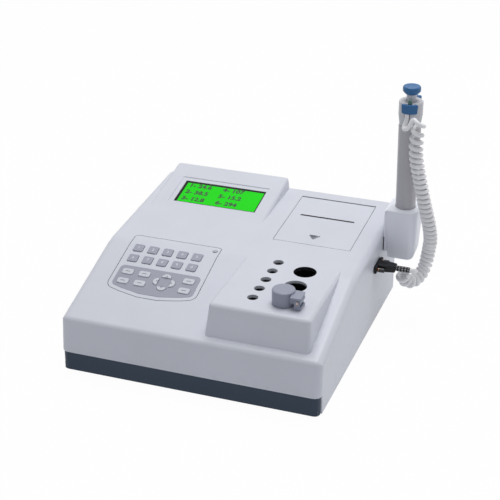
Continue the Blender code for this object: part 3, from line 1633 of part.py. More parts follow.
def main_board(surface):
    low = board_height()
    high = low + BOARD_THICKNESS
    board = box(
        MAIN_BOARD_LEFT, MAIN_BOARD_RIGHT, MAIN_BOARD_FRONT, MAIN_BOARD_REAR, low, high
    )
    width = MAIN_BOARD_RIGHT - MAIN_BOARD_LEFT
    depth = MAIN_BOARD_REAR - MAIN_BOARD_FRONT
    chip_shares = [(0.3, 0.35), (0.62, 0.35), (0.45, 0.62)]
    parts = []
    for across, along in chip_shares:
        x, y = MAIN_BOARD_LEFT + width * across, MAIN_BOARD_FRONT + depth * along
        half = CHIP_SIZE / 2
        parts.append(box(x - half, x + half, y - half, y + half, low + GAP, high + CHIP_RISE))
    socket_shares = [0.2, 0.5, 0.8]
    for across in socket_shares:
        x, y = MAIN_BOARD_LEFT + width * across, MAIN_BOARD_REAR - CHIP_SIZE / 2
        half, deep = CHIP_SIZE / 2, CHIP_SIZE / 4
        parts.append(box(x - half, x + half, y - deep, y + deep, low + GAP, high + SOCKET_RISE))
    return finish("main_board", joined(board, *parts), surface)


def power_supply(surface):
    low = board_height()
    outline = rectangle(SUPPLY_LEFT, SUPPLY_RIGHT, SUPPLY_FRONT, SUPPLY_REAR, SUPPLY_EDGE, 2)
    supply = prism(outline, low, low + SUPPLY_HEIGHT)
    high = low + SUPPLY_HEIGHT
    pitch = (SUPPLY_REAR - SUPPLY_FRONT) / (SUPPLY_FIN_COUNT + 1)
    cutters = []
    for number in range(1, SUPPLY_FIN_COUNT + 1):
        middle = SUPPLY_FRONT + pitch * number
        front, rear = middle - SUPPLY_FIN_WIDTH / 2, middle + SUPPLY_FIN_WIDTH / 2
        left, right = SUPPLY_LEFT + SUPPLY_EDGE * 3, SUPPLY_RIGHT - SUPPLY_EDGE * 3
        cutters.append(box(left, right, front, rear, high - SUPPLY_FIN_DEPTH, high + OVERRUN))
    return finish("power_supply", cut(supply, *cutters), surface)


def holder_span():
    left = BODY_WIDTH + HOLDER_GAP
    return left, left + HOLDER_WIDTH


def holder_outline(margin):
    left, right = holder_span()
    corners = [(left, HOLDER_FRONT), (right, HOLDER_FRONT), (right, HOLDER_REAR), (left, HOLDER_REAR)]
    corners = moved_in(corners, [margin] * 4)
    inner = max(HOLDER_INNER_CORNER - margin, LEAST_RADIUS)
    outer = max(HOLDER_CORNER - margin, LEAST_RADIUS)
    return rounded(corners, [inner, outer, outer, inner], 5)


# A cup moulded on a pad: tapered outside, hollow round a guide tube for the pipette's nozzle
def pipette_holder(surface):
    height = HOLDER_TOP - HOLDER_BOTTOM
    taper = HOLDER_TAPER_SHARE * height
    rise = HOLDER_REAR_RISE / (HOLDER_REAR - HOLDER_FRONT)
    rings = []
    for z, margin in (
        (HOLDER_BOTTOM, taper + HOLDER_EDGE / 2),
        (HOLDER_BOTTOM + HOLDER_EDGE, taper),
        (HOLDER_TOP - HOLDER_EDGE, 0.0),
        (HOLDER_TOP - HOLDER_EDGE / 3, HOLDER_EDGE / 3),
        (HOLDER_TOP, HOLDER_EDGE),
    ):
        share = (HOLDER_TOP - z) / height
        lift = rise * share
        rings.append([(x, y, z + (y - HOLDER_FRONT) * lift) for x, y in holder_outline(margin)])
    cup = loft(rings)
    left, right = holder_span()
    pad = rectangle(
        HOLDER_FRONT + HOLDER_PAD_MARGIN,
        HOLDER_REAR - HOLDER_PAD_MARGIN,
        HOLDER_BOTTOM + HOLDER_REAR_RISE + HOLDER_PAD_MARGIN,
        HOLDER_TOP - HOLDER_PAD_MARGIN,
    )
    pad = prism(pad, BODY_WIDTH + GAP, left + HOLDER_WALL, "X")
    cavity = prism(
        holder_outline(HOLDER_WALL + taper), HOLDER_BOTTOM - OVERRUN, HOLDER_CAVITY_TOP
    )
    guide = NOZZLE_RADIUS + GAP * 2
    tube = cylinder(
        PIPETTE_X, PIPETTE_Y, guide + HOLDER_WALL, HOLDER_BOTTOM - OVERRUN * 2, HOLDER_CAVITY_TOP, 20
    )
    cavity = cut(cavity, tube)
    bore = cylinder(PIPETTE_X, PIPETTE_Y, guide, HOLDER_BOTTOM - OVERRUN, HOLDER_TOP, 20)
    pocket = cylinder(
        PIPETTE_X,
        PIPETTE_Y,
        HANDLE_FOOT_RADIUS + GAP * 2,
        HOLDER_POCKET_FLOOR,
        HOLDER_TOP + OVERRUN,
        28,
    )
    holder = cut(joined(cup, pad), cavity, bore, pocket)
    return finish("pipette_holder", holder, surface)


def pipette_handle(surface):
    foot = HOLDER_POCKET_FLOOR + GAP
    bore = NOZZLE_BORE_RADIUS
    profile = [
        (0.0, NOZZLE_BOTTOM + WALL),
        (bore, NOZZLE_BOTTOM + WALL),
        (bore, NOZZLE_BOTTOM),
        (NOZZLE_TIP_RADIUS, NOZZLE_BOTTOM),
        (NOZZLE_RADIUS, HOLDER_CAVITY_TOP),
        (NOZZLE_RADIUS, foot),
        (HANDLE_FOOT_RADIUS, foot),
        (HANDLE_RADIUS, HANDLE_TOP - HANDLE_EDGE),
        (HANDLE_RADIUS - HANDLE_EDGE, HANDLE_TOP),
        (NECK_RADIUS, HANDLE_TOP),
        (NECK_RADIUS, NECK_TOP),
        (PLUNGER_BORE_RADIUS, NECK_TOP),
        (PLUNGER_BORE_RADIUS, PLUNGER_BORE_FLOOR),
        (0.0, PLUNGER_BORE_FLOOR),
    ]
    handle = turned(profile, PIPETTE_X, PIPETTE_Y, 24)
    return finish("pipette_handle", handle, surface, (PIPETTE_X, PIPETTE_Y, foot))


# A frame on the pipette's axis whose x points a given way
def pipette_frame(angle, z=0.0):
    turn = radians(angle)
    return Matrix.Translation((PIPETTE_X, PIPETTE_Y, z)) @ Matrix.Rotation(turn, 4, "Z")


def pipette_sleeve(surface):
    inner = NECK_RADIUS + GAP
    hole = PLUNGER_RADIUS + GAP * 2
    profile = [
        (inner, SLEEVE_BOTTOM),
        (SLEEVE_FOOT_RADIUS, SLEEVE_BOTTOM),
        (SLEEVE_RADIUS, SLEEVE_SHOULDER),
        (SLEEVE_RADIUS, SLEEVE_TOP - SLEEVE_EDGE),
        (SLEEVE_RADIUS - SLEEVE_EDGE, SLEEVE_TOP),
        (hole, SLEEVE_TOP),
        (hole, SLEEVE_TOP - SLEEVE_ROOF),
        (inner, SLEEVE_TOP - SLEEVE_ROOF),
    ]
    sleeve = turned(profile, PIPETTE_X, PIPETTE_Y, 24, closed=True)
    half = WIRE_RADIUS + GAP * 2
    slot_low, slot_high = SLEEVE_BOTTOM - OVERRUN, CLIP_TOP - TONGUE_MARGIN - SLEEVE_ROOF / 2
    slot = box(
        NECK_RADIUS,
        SLEEVE_RADIUS + OVERRUN,
        -half,
        half,
        slot_low,
        slot_high,
        pipette_frame(CORD_SLOT_ANGLE),
    )
    groove_half = EJECTOR_WIDTH / 2 + GAP
    groove = box(
        EJECTOR_INNER - GAP,
        SLEEVE_RADIUS + OVERRUN,
        -groove_half,
        groove_half,
        SLEEVE_BOTTOM - OVERRUN,
        SLEEVE_TOP + OVERRUN,
        pipette_frame(EJECTOR_ANGLE),
    )
    return finish("pipette_sleeve", cut(sleeve, slot, groove), surface)


def pipette_plunger(surface):
    profile = [
        (0.0, PLUNGER_BOTTOM),
        (PLUNGER_RADIUS, PLUNGER_BOTTOM),
        (PLUNGER_RADIUS, KNOB_BOTTOM),
        (KNOB_FOOT_RADIUS, KNOB_BOTTOM),
        (KNOB_RADIUS, KNOB_UNDERSIDE),
        (KNOB_RADIUS, KNOB_SHOULDER),
        (KNOB_RADIUS * KNOB_RIM_SHARE, KNOB_TOP - KNOB_DISH / 2),
        (KNOB_RADIUS * KNOB_CROWN_SHARE, KNOB_TOP),
        (KNOB_RADIUS * KNOB_HOLLOW_SHARE, KNOB_TOP - KNOB_DISH / 2),
        (0.0, KNOB_TOP - KNOB_DISH),
    ]
    plunger = turned(profile, PIPETTE_X, PIPETTE_Y, 24)
    return finish("pipette_plunger", plunger, surface, (PIPETTE_X, PIPETTE_Y, KNOB_BOTTOM))


def arc_band(inner, outer, half_angle, pieces):
    angles = [half_angle * (2 * step / pieces - 1) for step in range(pieces + 1)]
    outside = [(outer * cos(angle), outer * sin(angle)) for angle in angles]
    inside = [(inner * cos(angle), inner * sin(angle)) for angle in reversed(angles)]
    return outside + inside


def cord_clip(surface):
    edge = (CLIP_OUTER - CLIP_INNER) / 4
    wide, narrow = radians(CLIP_HALF_ANGLE), radians(CLIP_LOWER_HALF_ANGLE)
    low, high = CLIP_BOTTOM, CLIP_TOP
    rings = []
    for z, margin in ((low, edge), (low + edge, 0.0), (high - edge, 0.0), (high, edge)):
        half = narrow + (wide - narrow) * (z - low) / (high - low) - margin / CLIP_OUTER
        outline = arc_band(CLIP_INNER, CLIP_OUTER - margin, half, 8)
        rings.append([(x, y, z) for x, y in outline])
    shell = loft(rings, pipette_frame(CLIP_ANGLE))
    half_width = TONGUE_WIDTH / 2
    tongue = box(
        TONGUE_INNER,
        (CLIP_INNER + CLIP_OUTER) / 2,
        -half_width,
        half_width,
        CLIP_BOTTOM + TONGUE_MARGIN,
        CLIP_TOP - TONGUE_MARGIN - SLEEVE_ROOF / 2 - GAP,
        pipette_frame(CORD_SLOT_ANGLE),
    )
    return finish("cord_clip", joined(shell, tongue), surface)


def signal_lamp(surface):
    dome = []
    waist = LAMP_BOTTOM + LAMP_HEIGHT - LAMP_RADIUS
    for step in range(5):
        angle = pi / 2 * step / 4
        dome.append((LAMP_RADIUS * cos(angle), waist + LAMP_RADIUS * sin(angle)))
    profile = [(0.0, LAMP_BOTTOM), (LAMP_RADIUS, LAMP_BOTTOM)] + dome[:-1]
    profile.append((0.0, LAMP_BOTTOM + LAMP_HEIGHT))
    place = pipette_frame(CLIP_ANGLE) @ Vector((LAMP_OFFSET, 0.0, 0.0))
    return finish("signal_lamp", turned(profile, place.x, place.y, 14), surface)


def tip_ejector(surface):
    edge = EJECTOR_EDGE
    half = EJECTOR_WIDTH / 2
    outline = [
        (EJECTOR_INNER, EJECTOR_BOTTOM),
        (EJECTOR_OUTER - edge, EJECTOR_BOTTOM),
        (EJECTOR_OUTER, EJECTOR_BOTTOM + edge),
        (EJECTOR_OUTER, EJECTOR_PAD_TOP),
        (EJECTOR_INNER, EJECTOR_PAD_TOP),
    ]
    arm = prism(outline, -half, half, "Y", pipette_frame(EJECTOR_ANGLE))
    inner = CLIP_INNER
    pad_half = EJECTOR_PAD_WIDTH / 2
    pad = rectangle(inner, EJECTOR_PAD_OUTER, -pad_half, pad_half, edge * 3, 3)
    rings = []
    for z, margin in (
        (EJECTOR_PAD_BOTTOM, edge),
        (EJECTOR_PAD_BOTTOM + edge, 0.0),
        (EJECTOR_PAD_TOP - edge, 0.0),
        (EJECTOR_PAD_TOP, edge),
    ):
        share = 1 - 2 * margin / EJECTOR_PAD_WIDTH
        rings.append([(x, y, z) for x, y in scaled_outline(pad, share)])
    pad = loft(rings, pipette_frame(EJECTOR_ANGLE))
    ejector = joined(arm, pad)
    pivot = pipette_frame(EJECTOR_ANGLE) @ Vector((EJECTOR_INNER, 0.0, EJECTOR_PAD_TOP))
    return finish("tip_ejector", ejector, surface, pivot)


def jackscrew_places():
    half = JACKSCREW_SPACING / 2
    return [("jackscrew_front", PLUG_Y - half), ("jackscrew_back", PLUG_Y + half)]


def plug_hood(surface):
    low, high = PLUG_Z - PLUG_HEIGHT / 2, PLUG_Z + PLUG_HEIGHT / 2
    start = WALL_X
    flange_end = start + PLUG_FLANGE_THICKNESS
    end = start + PLUG_LENGTH
    middle = (flange_end + end) / 2
    outline = [
        (start, PLUG_Y - PLUG_FLANGE_HALF),
        (flange_end, PLUG_Y - PLUG_FLANGE_HALF),
        (flange_end, PLUG_Y - PLUG_SHOULDER_HALF),
        (middle, PLUG_Y - PLUG_SHOULDER_HALF),
        (end, PLUG_Y - PLUG_HOOD_HALF * PLUG_END_SHARE),
        (end, PLUG_Y + PLUG_HOOD_HALF * PLUG_END_SHARE),
        (middle, PLUG_Y + PLUG_SHOULDER_HALF),
        (flange_end, PLUG_Y + PLUG_SHOULDER_HALF),
        (flange_end, PLUG_Y + PLUG_FLANGE_HALF),
        (start, PLUG_Y + PLUG_FLANGE_HALF),
    ]
    inner = moved_in(outline, [PLUG_EDGE / 2] * len(outline))
    hood = loft(
        [
            [(x, y, low) for x, y in inner],
            [(x, y, low + PLUG_EDGE) for x, y in outline],
            [(x, y, high - PLUG_EDGE) for x, y in outline],
            [(x, y, high) for x, y in inner],
        ]
    )
    holes = []
    for name, y in jackscrew_places():
        radius = JACKSCREW_RADIUS + GAP
        holes.append(
            cylinder(y, PLUG_Z, radius, start - OVERRUN, flange_end + OVERRUN, 12, "X")
        )
    return finish("plug_hood", cut(hood, *holes), surface)


# The screws' knurled heads are drawn as a ring of ridges
def jackscrews(surface):
    start = WALL_X + PLUG_FLANGE_THICKNESS + GAP
    reach = WALL_X - JACKSCREW_REACH
    for name, y in jackscrew_places():
        head = []
        for step in range(2 * JACKSCREW_RIDGES):
            angle = pi * step / JACKSCREW_RIDGES
            radius = JACKSCREW_HEAD_RADIUS - (JACKSCREW_GROOVE if step % 2 else 0.0)
            head.append((y + radius * cos(angle), PLUG_Z + radius * sin(angle)))
        small = scaled_outline(head, JACKSCREW_END_SHARE)
        end = start + JACKSCREW_HEAD_LENGTH
        edge = JACKSCREW_GROOVE * 2
        screw = loft(
            [
                [(x, u, v) for u, v in outline]
                for x, outline in (
                    (start, small),
                    (start + edge, head),
                    (end - edge, head),
                    (end, small),
                )
            ]
        )
        shank = cylinder(y, PLUG_Z, JACKSCREW_RADIUS, reach, start + edge, 12, "X")
        finish(name, joined(screw, shank), surface)


def side_socket(surface):
    face = BODY_WIDTH
    inner = BODY_WIDTH - WALL - GAP
    half = SOCKET_HALF
    low, high = PLUG_Z - SOCKET_HEIGHT / 2, PLUG_Z + SOCKET_HEIGHT / 2
    block = prism(
        rectangle(PLUG_Y - half, PLUG_Y + half, low, high), inner - SOCKET_BODY_DEPTH, face, "X"
    )
    wide = half + SOCKET_FLANGE
    flange = prism(
        rectangle(PLUG_Y - wide, PLUG_Y + wide, low - SOCKET_FLANGE, high + SOCKET_FLANGE),
        inner - SOCKET_FLANGE_THICKNESS,
        inner,
        "X",
    )
    holes = []
    for name, y in jackscrew_places():
        radius = JACKSCREW_RADIUS + GAP
        holes.append(
            cylinder(y, PLUG_Z, radius, face - JACKSCREW_REACH * 2, face + OVERRUN, 12, "X")
        )
    return finish("side_socket", cut(joined(block, flange), *holes), surface)


def sleeve_start():
    return WALL_X + PLUG_LENGTH + GAP


def cord_sleeve(surface):
    radius = CORD_SLEEVE_RADIUS
    length = CORD_SLEEVE_LENGTH
    edge = radius / 6
    profile = [
        (0.0, 0.0),
        (radius - edge, 0.0),
        (radius, edge),
        (radius, length - edge),
        (radius - edge, length),
        (0.0, length),
    ]
    sleeve = turned(profile, count=16, matrix=along_x(sleeve_start(), PLUG_Y, PLUG_Z))
    return finish("cord_sleeve", sleeve, surface)


# The cord hangs from the clip, coils down beside the pipette, bends under and comes up to the sleeve.
# The coil's axis passes these places, chosen by hand.
COIL_AXIS = [
    (0.3161, 0.2294, 0.2345),
    (0.3143, 0.2292, 0.2210),
    (0.3137, 0.2290, 0.2090),
    (0.3147, 0.2290, 0.1920),
    (0.3187, 0.2282, 0.1738),
    (0.3233, 0.2280, 0.1552),
    (0.3275, 0.2296, 0.1365),
    (0.3323, 0.2340, 0.1130),
    (0.3335, 0.2390, 0.0950),
    (0.3324, 0.2415, 0.0861),
    (0.3305, 0.2425, 0.0705),
    (0.3285, 0.2395, 0.0592),
    (0.3252, 0.2325, 0.0518),
    (0.3200, 0.2245, 0.0486),
    (0.3147, 0.2180, 0.0509),
    (0.3112, 0.2140, 0.0566),
    (0.3101, 0.2125, 0.0627),
]
HANG_BOTTOM = (0.3015, 0.2270, 0.2239)
HANG_HEADING = (0.9, -0.35, 0.30)


# A smooth curve through points, read at even steps
def smooth_curve(points, steps):
    places = [Vector(point) for point in points]
    ends = [places[0] * 2 - places[1]] + places + [places[-1] * 2 - places[-2]]
    curve = []
    for index in range(1, len(ends) - 2):
        before, here, after, beyond = ends[index - 1 : index + 3]
        for step in range(steps):
            share = step / steps
            curve.append(
                0.5
                * (
                    2 * here
                    + (after - before) * share
                    + (2 * before - 5 * here + 4 * after - beyond) * share**2
                    + (3 * here - before - 3 * after + beyond) * share**3
                )
            )
    curve.append(places[-1])
    return curve


def lengths_along(points):
    total = [0.0]
    for first, second in zip(points, points[1:]):
        total.append(total[-1] + (second - first).length)
    return total


# Reads a curve at a distance along it
def read_at(points, lengths, distance):
    distance = min(max(distance, 0.0), lengths[-1])
    index = 1
    while index < len(lengths) - 1 and lengths[index] < distance:
        index += 1
    span = lengths[index] - lengths[index - 1]
    share = (distance - lengths[index - 1]) / span if span else 0.0
    return points[index - 1].lerp(points[index], share)


# How sharply the coil's axis bends at a distance along it
def bend_at(points, lengths, distance):
    reach = COIL_RADIUS
    before = read_at(points, lengths, distance - reach)
    here = read_at(points, lengths, distance)
    after = read_at(points, lengths, distance + reach)
    first, second = here - before, after - here
    if first.length < WELD or second.length < WELD:
        return 0.0
    return first.angle(second) / ((first.length + second.length) / 2)


# The coil winds round its axis; its turns open a little where the axis bends
def coil_points(axis_points):
    lengths = lengths_along(axis_points)
    total = lengths[-1]
    distance = 0.0
    turn = radians(COIL_START)
    side = Vector((1.0, 0.0, 0.0))
    points = []
    while distance < total:
        here = read_at(axis_points, lengths, distance)
        ahead = read_at(axis_points, lengths, distance + WIRE_RADIUS)
        behind = read_at(axis_points, lengths, distance - WIRE_RADIUS)
        along = (ahead - behind).normalized()
        side = (side - along * side.dot(along)).normalized()
        other = along.cross(side)
        points.append(here + side * (COIL_RADIUS * cos(turn)) + other * (COIL_RADIUS * sin(turn)))
        fade = (1 - min(distance / PITCH_FADE, 1.0)) ** PITCH_POWER
        pitch = COIL_PITCH + (TOP_PITCH - COIL_PITCH) * fade
        squeeze = 1 - bend_at(axis_points, lengths, distance) * COIL_RADIUS
        least = (2 * WIRE_RADIUS + BEND_GAP) / max(squeeze, LEAST_SQUEEZE_SHARE)
        pitch = max(pitch, least)
        distance += pitch / CURL_POINTS
        turn -= 2 * pi / CURL_POINTS
    return points


# One smooth stretch of cord from a place and heading to another
def lead(start, heading, end, arrival, leaving_pull, arriving_pull):
    first = start + heading * leaving_pull
    last = end - arrival * arriving_pull
    points = []
    for step in range(1, LEAD_POINTS):
        share = step / LEAD_POINTS
        rest = 1 - share
        points.append(
            start * rest**3
            + first * (3 * rest**2 * share)
            + last * (3 * rest * share**2)
            + end * share**3
        )
    return points


# The coil stops where its wire heads for the connector
def trimmed_coil(points, heading):
    headings = []
    for index in range(len(points) - CURL_POINTS, len(points)):
        headings.append(((points[index] - points[index - 1]).normalized().dot(heading), index))
    best = max(headings)[1]
    return points[: best + 1]


def cord_route():
    straight = 2 * WIRE_RADIUS
    clip_radius = NECK_RADIUS + WIRE_RADIUS + GAP * 4
    top = pipette_frame(CORD_SLOT_ANGLE, CLIP_BOTTOM - GAP) @ Vector((clip_radius, 0.0, 0.0))
    down = Vector((0.0, 0.0, -1.0))
    coil = coil_points(smooth_curve(COIL_AXIS, 8))
    coil = trimmed_coil(coil, Vector((0.0, -1.0, 0.0)))
    inward = Vector((-1.0, 0.0, 0.0))
    end_x = sleeve_start() + CORD_SLEEVE_LENGTH + GAP
    end = Vector((end_x, PLUG_Y, PLUG_Z))
    first_turn = (coil[1] - coil[0]).normalized()
    last_turn = (coil[-1] - coil[-2]).normalized()
    hung = top + down * straight
    entry = end - inward * straight
    bottom = Vector(HANG_BOTTOM)
    heading = Vector(HANG_HEADING).normalized()
    route = [top, hung]
    route += lead(hung, down, bottom, heading, HANG_PULL, HANG_PULL)
    route.append(bottom)
    route += lead(bottom, heading, coil[0], first_turn, LEAD_PULL, LEAD_PULL)
    route += coil
    route += lead(coil[-1], last_turn, entry, inward, LEAD_PULL, HANG_PULL)
    return route + [entry, end]


# The least gap from the tube to itself, past the stretch that any bend shares
def least_gap(points):
    lengths = lengths_along(points)
    apart = 2 * pi * COIL_RADIUS / 2
    least = lengths[-1]
    for first in range(len(points)):
        for second in range(first + 1, len(points)):
            if lengths[second] - lengths[first] > apart:
                least = min(least, (points[first] - points[second]).length)
    return least - 2 * WIRE_RADIUS


def curly_cord(surface):
    route = cord_route()
    gap = least_gap(route)
    print(f"curly_cord: {lengths_along(route)[-1]:.3f} m long, least gap to itself {gap:.5f} m")
    curve = bpy.data.curves.new("curly_cord", "CURVE")
    curve.dimensions = "3D"
    curve.bevel_depth = WIRE_RADIUS
    curve.bevel_resolution = 1
    curve.use_fill_caps = True
    curve.twist_mode = "MINIMUM"
    spline = curve.splines.new("POLY")
    spline.points.add(len(route) - 1)
    for place, point in zip(spline.points, route):
        place.co = (*point, 1.0)
    curve.materials.append(surface)
    cord = bpy.data.objects.new("curly_cord", curve)
    bpy.context.collection.objects.link(cord)
    cord.parent = bpy.data.objects["analyzer_origin"]
    return cord


def build():
    clear_scene()
    origin = bpy.data.objects.new("analyzer_origin", None)
    bpy.context.collection.objects.link(origin)
    origin.location = (-PART_RIGHT / 2, -BODY_DEPTH / 2, FOOT_DROP)

    shell = material("pale_shell", (0.80, 0.82, 0.84), 0.45)
    slate = material("slate_plastic", (0.034, 0.051, 0.080), 0.5)
    rubber = material("black_rubber", (0.02, 0.02, 0.02), 0.8)
    steel = material("brushed_steel", (0.55, 0.56, 0.58), 0.35, 1.0)
    black = material("black_plastic", (0.015, 0.015, 0.017), 0.45)
    screen = material("green_display", (0.02, 0.68, 0.02), 0.2)
    plate = material("overlay_film", (0.66, 0.68, 0.71), 0.4)
    grey_key = material("grey_key", (0.40, 0.40, 0.44), 0.5)
    white_key = material("white_key", (0.82, 0.84, 0.86), 0.45)
    lamp_grey = material("grey_lens", (0.40, 0.41, 0.44), 0.2)
    board = material("circuit_board", (0.02, 0.16, 0.06), 0.5)
    aluminium = material("aluminium", (0.70, 0.71, 0.72), 0.3, 1.0)
    cap_grey = material("blue_grey_cap", (0.32, 0.34, 0.42), 0.35)
    copper = material("copper_pin", (0.55, 0.28, 0.14), 0.35, 1.0)
    handle_grey = material("handle_grey", (0.48, 0.50, 0.54), 0.4)
    sleeve_grey = material("sleeve_grey", (0.62, 0.64, 0.68), 0.4)
    blue = material("blue_plastic", (0.03, 0.13, 0.34), 0.4)
    green = material("green_lens", (0.01, 0.09, 0.08), 0.2)
    paper = material("white_paper", (0.85, 0.85, 0.82), 0.8)
    cord_grey = material("cord_grey", (0.72, 0.73, 0.75), 0.45)

    upper_housing(shell)
    base_tray(slate)
    feet(rubber)
    lcd_module(screen)
    keypad_overlay(plate)
    for name, x, y, kind, turn in key_list():
        key_piece(name, x, y, kind, turn, grey_key if kind == "number" else white_key)
    power_led(lamp_grey)
    keypad_board(board)
    heaters(aluminium)
    channel_cap(cap_grey)
    cap_bracket(cap_grey)
    cap_pin(copper)
    printer_door(shell)
    printer_frame(shell)
    paper_roll(paper)
    roll_spindle(black)
    platen_roller(rubber)
    rear_panel(steel)
    power_inlet(black)
    switch_frame(black)
    power_rocker(black)
    serial_port(steel)
    main_board(board)
    power_supply(aluminium)
    pipette_holder(shell)
    pipette_handle(handle_grey)
    pipette_sleeve(sleeve_grey)
    pipette_plunger(blue)
    cord_clip(blue)
    signal_lamp(green)
    tip_ejector(blue)
    side_socket(black)
    plug_hood(black)
    jackscrews(copper)
    cord_sleeve(black)
    curly_cord(cord_grey)


build()
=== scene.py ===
import json
from math import atan, cos, pi, radians, sin, tan

import bpy
from mathutils import Matrix, Vector

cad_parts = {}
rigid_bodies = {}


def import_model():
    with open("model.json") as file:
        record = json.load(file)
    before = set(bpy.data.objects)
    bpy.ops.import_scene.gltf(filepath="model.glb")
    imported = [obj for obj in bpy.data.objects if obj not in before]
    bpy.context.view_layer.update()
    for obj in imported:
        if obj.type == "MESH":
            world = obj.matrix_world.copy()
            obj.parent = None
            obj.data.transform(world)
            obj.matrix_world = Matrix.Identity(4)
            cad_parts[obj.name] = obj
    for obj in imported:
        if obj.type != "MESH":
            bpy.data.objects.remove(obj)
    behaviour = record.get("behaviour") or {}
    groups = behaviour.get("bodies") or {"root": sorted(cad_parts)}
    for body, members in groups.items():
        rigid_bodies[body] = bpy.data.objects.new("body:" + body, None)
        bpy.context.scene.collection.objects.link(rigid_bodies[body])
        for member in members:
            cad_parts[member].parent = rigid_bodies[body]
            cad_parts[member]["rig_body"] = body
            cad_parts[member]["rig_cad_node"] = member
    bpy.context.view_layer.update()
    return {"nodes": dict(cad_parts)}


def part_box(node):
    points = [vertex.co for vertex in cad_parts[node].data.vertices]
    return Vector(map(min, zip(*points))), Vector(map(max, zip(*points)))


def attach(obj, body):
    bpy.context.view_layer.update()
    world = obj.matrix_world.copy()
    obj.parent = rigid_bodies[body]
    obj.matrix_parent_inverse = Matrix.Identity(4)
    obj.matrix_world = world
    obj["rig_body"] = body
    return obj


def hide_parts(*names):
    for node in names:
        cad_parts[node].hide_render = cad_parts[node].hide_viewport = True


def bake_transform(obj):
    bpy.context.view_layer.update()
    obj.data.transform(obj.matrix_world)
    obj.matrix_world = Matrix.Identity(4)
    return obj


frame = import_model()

corner = Vector((-0.15935, -0.1495, 0.0033))  # the housing's corner, where the sizes below start
housing = "housing"


def deselectAll():
    if bpy.context.object and bpy.context.object.mode != "OBJECT":
        bpy.ops.object.mode_set(mode="OBJECT")
    bpy.ops.object.select_all(action="DESELECT")


def makeActive(piece):
    deselectAll()
    piece.select_set(True)
    bpy.context.view_layer.objects.active = piece


# Camera
camera = {
    "place": (0.44176, -1.24407, 0.76207),
    "turn": (63.3, 0.0, 19.68),
    "lens": 98.914,
    "nearest": 0.05,
}

deselectAll()
bpy.ops.object.camera_add(
    location=camera["place"], rotation=[radians(angle) for angle in camera["turn"]]
)
bpy.context.object.data.lens = camera["lens"]
bpy.context.object.data.clip_start = camera["nearest"]
bpy.context.scene.camera = bpy.context.object
bpy.context.scene.view_settings.view_transform = "Standard"
print("camera set")


# Node trees are written as sums of sockets
class Socket:
    def __init__(self, tree, output):
        self.tree, self.output = tree, output

    def calculate(self, operation, first, second=0.0):
        return self.tree.node("ShaderNodeMath", {"operation": operation}, {0: first, 1: second})

    def __add__(self, other):
        return self.calculate("ADD", self, other)

    def __sub__(self, other):
        return self.calculate("SUBTRACT", self, other)

    def __rsub__(self, other):
        return self.calculate("SUBTRACT", other, self)

    def __mul__(self, other):
        return self.calculate("MULTIPLY", self, other)

    def __pow__(self, other):
        return self.calculate("POWER", self, other)

    def __gt__(self, other):
        return self.calculate("GREATER_THAN", self, other)

    def __lt__(self, other):
        return self.calculate("LESS_THAN", self, other)

    def __abs__(self):
        return self.calculate("ABSOLUTE", self)

    def sine(self):
        return self.calculate("SINE", self)

    def largest(self, other):
        return self.calculate("MAXIMUM", self, other)

    def angleFrom(self, other):
        return self.calculate("ARCTAN2", self, other)

    __radd__ = __add__


def distanceOf(across, along):
    return (across**2.0 + along**2.0) ** 0.5


class Tree:
    def __init__(self, owner):
        owner.use_nodes = True
        self.nodes, self.links = owner.node_tree.nodes, owner.node_tree.links

    def put(self, target, value):
        if isinstance(value, Socket):
            self.links.new(value.output, target)
        else:
            target.default_value = value

    def node(self, kind, settings=None, values=None, output=0):
        made = self.nodes.new(kind)
        for name, value in (settings or {}).items():
            setattr(made, name, value)
        for name, value in (values or {}).items():
            self.put(made.inputs[name], value)
        return Socket(self, made.outputs[output])


# One material, with the sockets that its patterns are read from
class Finish(Tree):
    def __init__(self, name, roughness=0.5, metallic=0.0, specular=0.5):
        self.material = bpy.data.materials.new(name)
        super().__init__(self.material)
        self.shader = self.nodes["Principled BSDF"]
        self.give("Roughness", roughness)
        self.give("Metallic", metallic)
        self.give("Specular IOR Level", specular)
        self.place = self.node("ShaderNodeTexCoord", output="Object")
        split = self.node("ShaderNodeSeparateXYZ", {}, {0: self.place})
        self.x, self.y, self.z = [Socket(self, way) for way in split.output.node.outputs]

    def give(self, name, value):
        self.put(self.shader.inputs[name], value)

    def noise(self, scale, detail=2.0, stretch=None):
        place = self.place
        if stretch:
            place = self.node("ShaderNodeMapping", {}, {"Vector": place, "Scale": stretch})
        return self.node(
            "ShaderNodeTexNoise", {}, {"Vector": place, "Scale": scale, "Detail": detail}
        )

    # Inputs 6 and 7 of a Mix node are its colours, and output 2 is what they give
    def mix(self, share, first, second):
        colours = [c if isinstance(c, Socket) else (*c, 1.0) for c in (first, second)]
        return self.node(
            "ShaderNodeMix", {"data_type": "RGBA"}, {0: share, 6: colours[0], 7: colours[1]}, 2
        )

    def tint(self, share, first, second):
        self.colour = self.mix(share, first, second)
        self.give("Base Color", self.colour)

    def paint(self, mask, colour):
        self.tint(mask, self.colour, colour)

    # Bare metal gets a colour that isn't metal where the mask is 1
    def paintMetal(self, mask, colour):
        self.paint(mask, colour)
        self.give("Metallic", 1.0 - mask)

    def bump(self, height, distance, strength=0.5):
        values = {"Height": height, "Distance": distance, "Strength": strength}
        self.give("Normal", self.node("ShaderNodeBump", {}, values))

    # A mask that is 1 within half a width of a middle
    def near(self, way, middle, half):
        return abs(way - middle) < half


def tinted(colour, factor):
    return tuple(min(channel * factor, 1.0) for channel in colour)


# Injection-moulded plastic: a fine eroded texture, a slight mottle and a rougher bloom
moulding = {
    "mottle": 22.0,
    "mottleShare": 0.7,
    "contrast": 1.6,
    "tints": (0.955, 1.035),
    "fineBloom": 0.18,
    "broadBloom": 0.12,
}


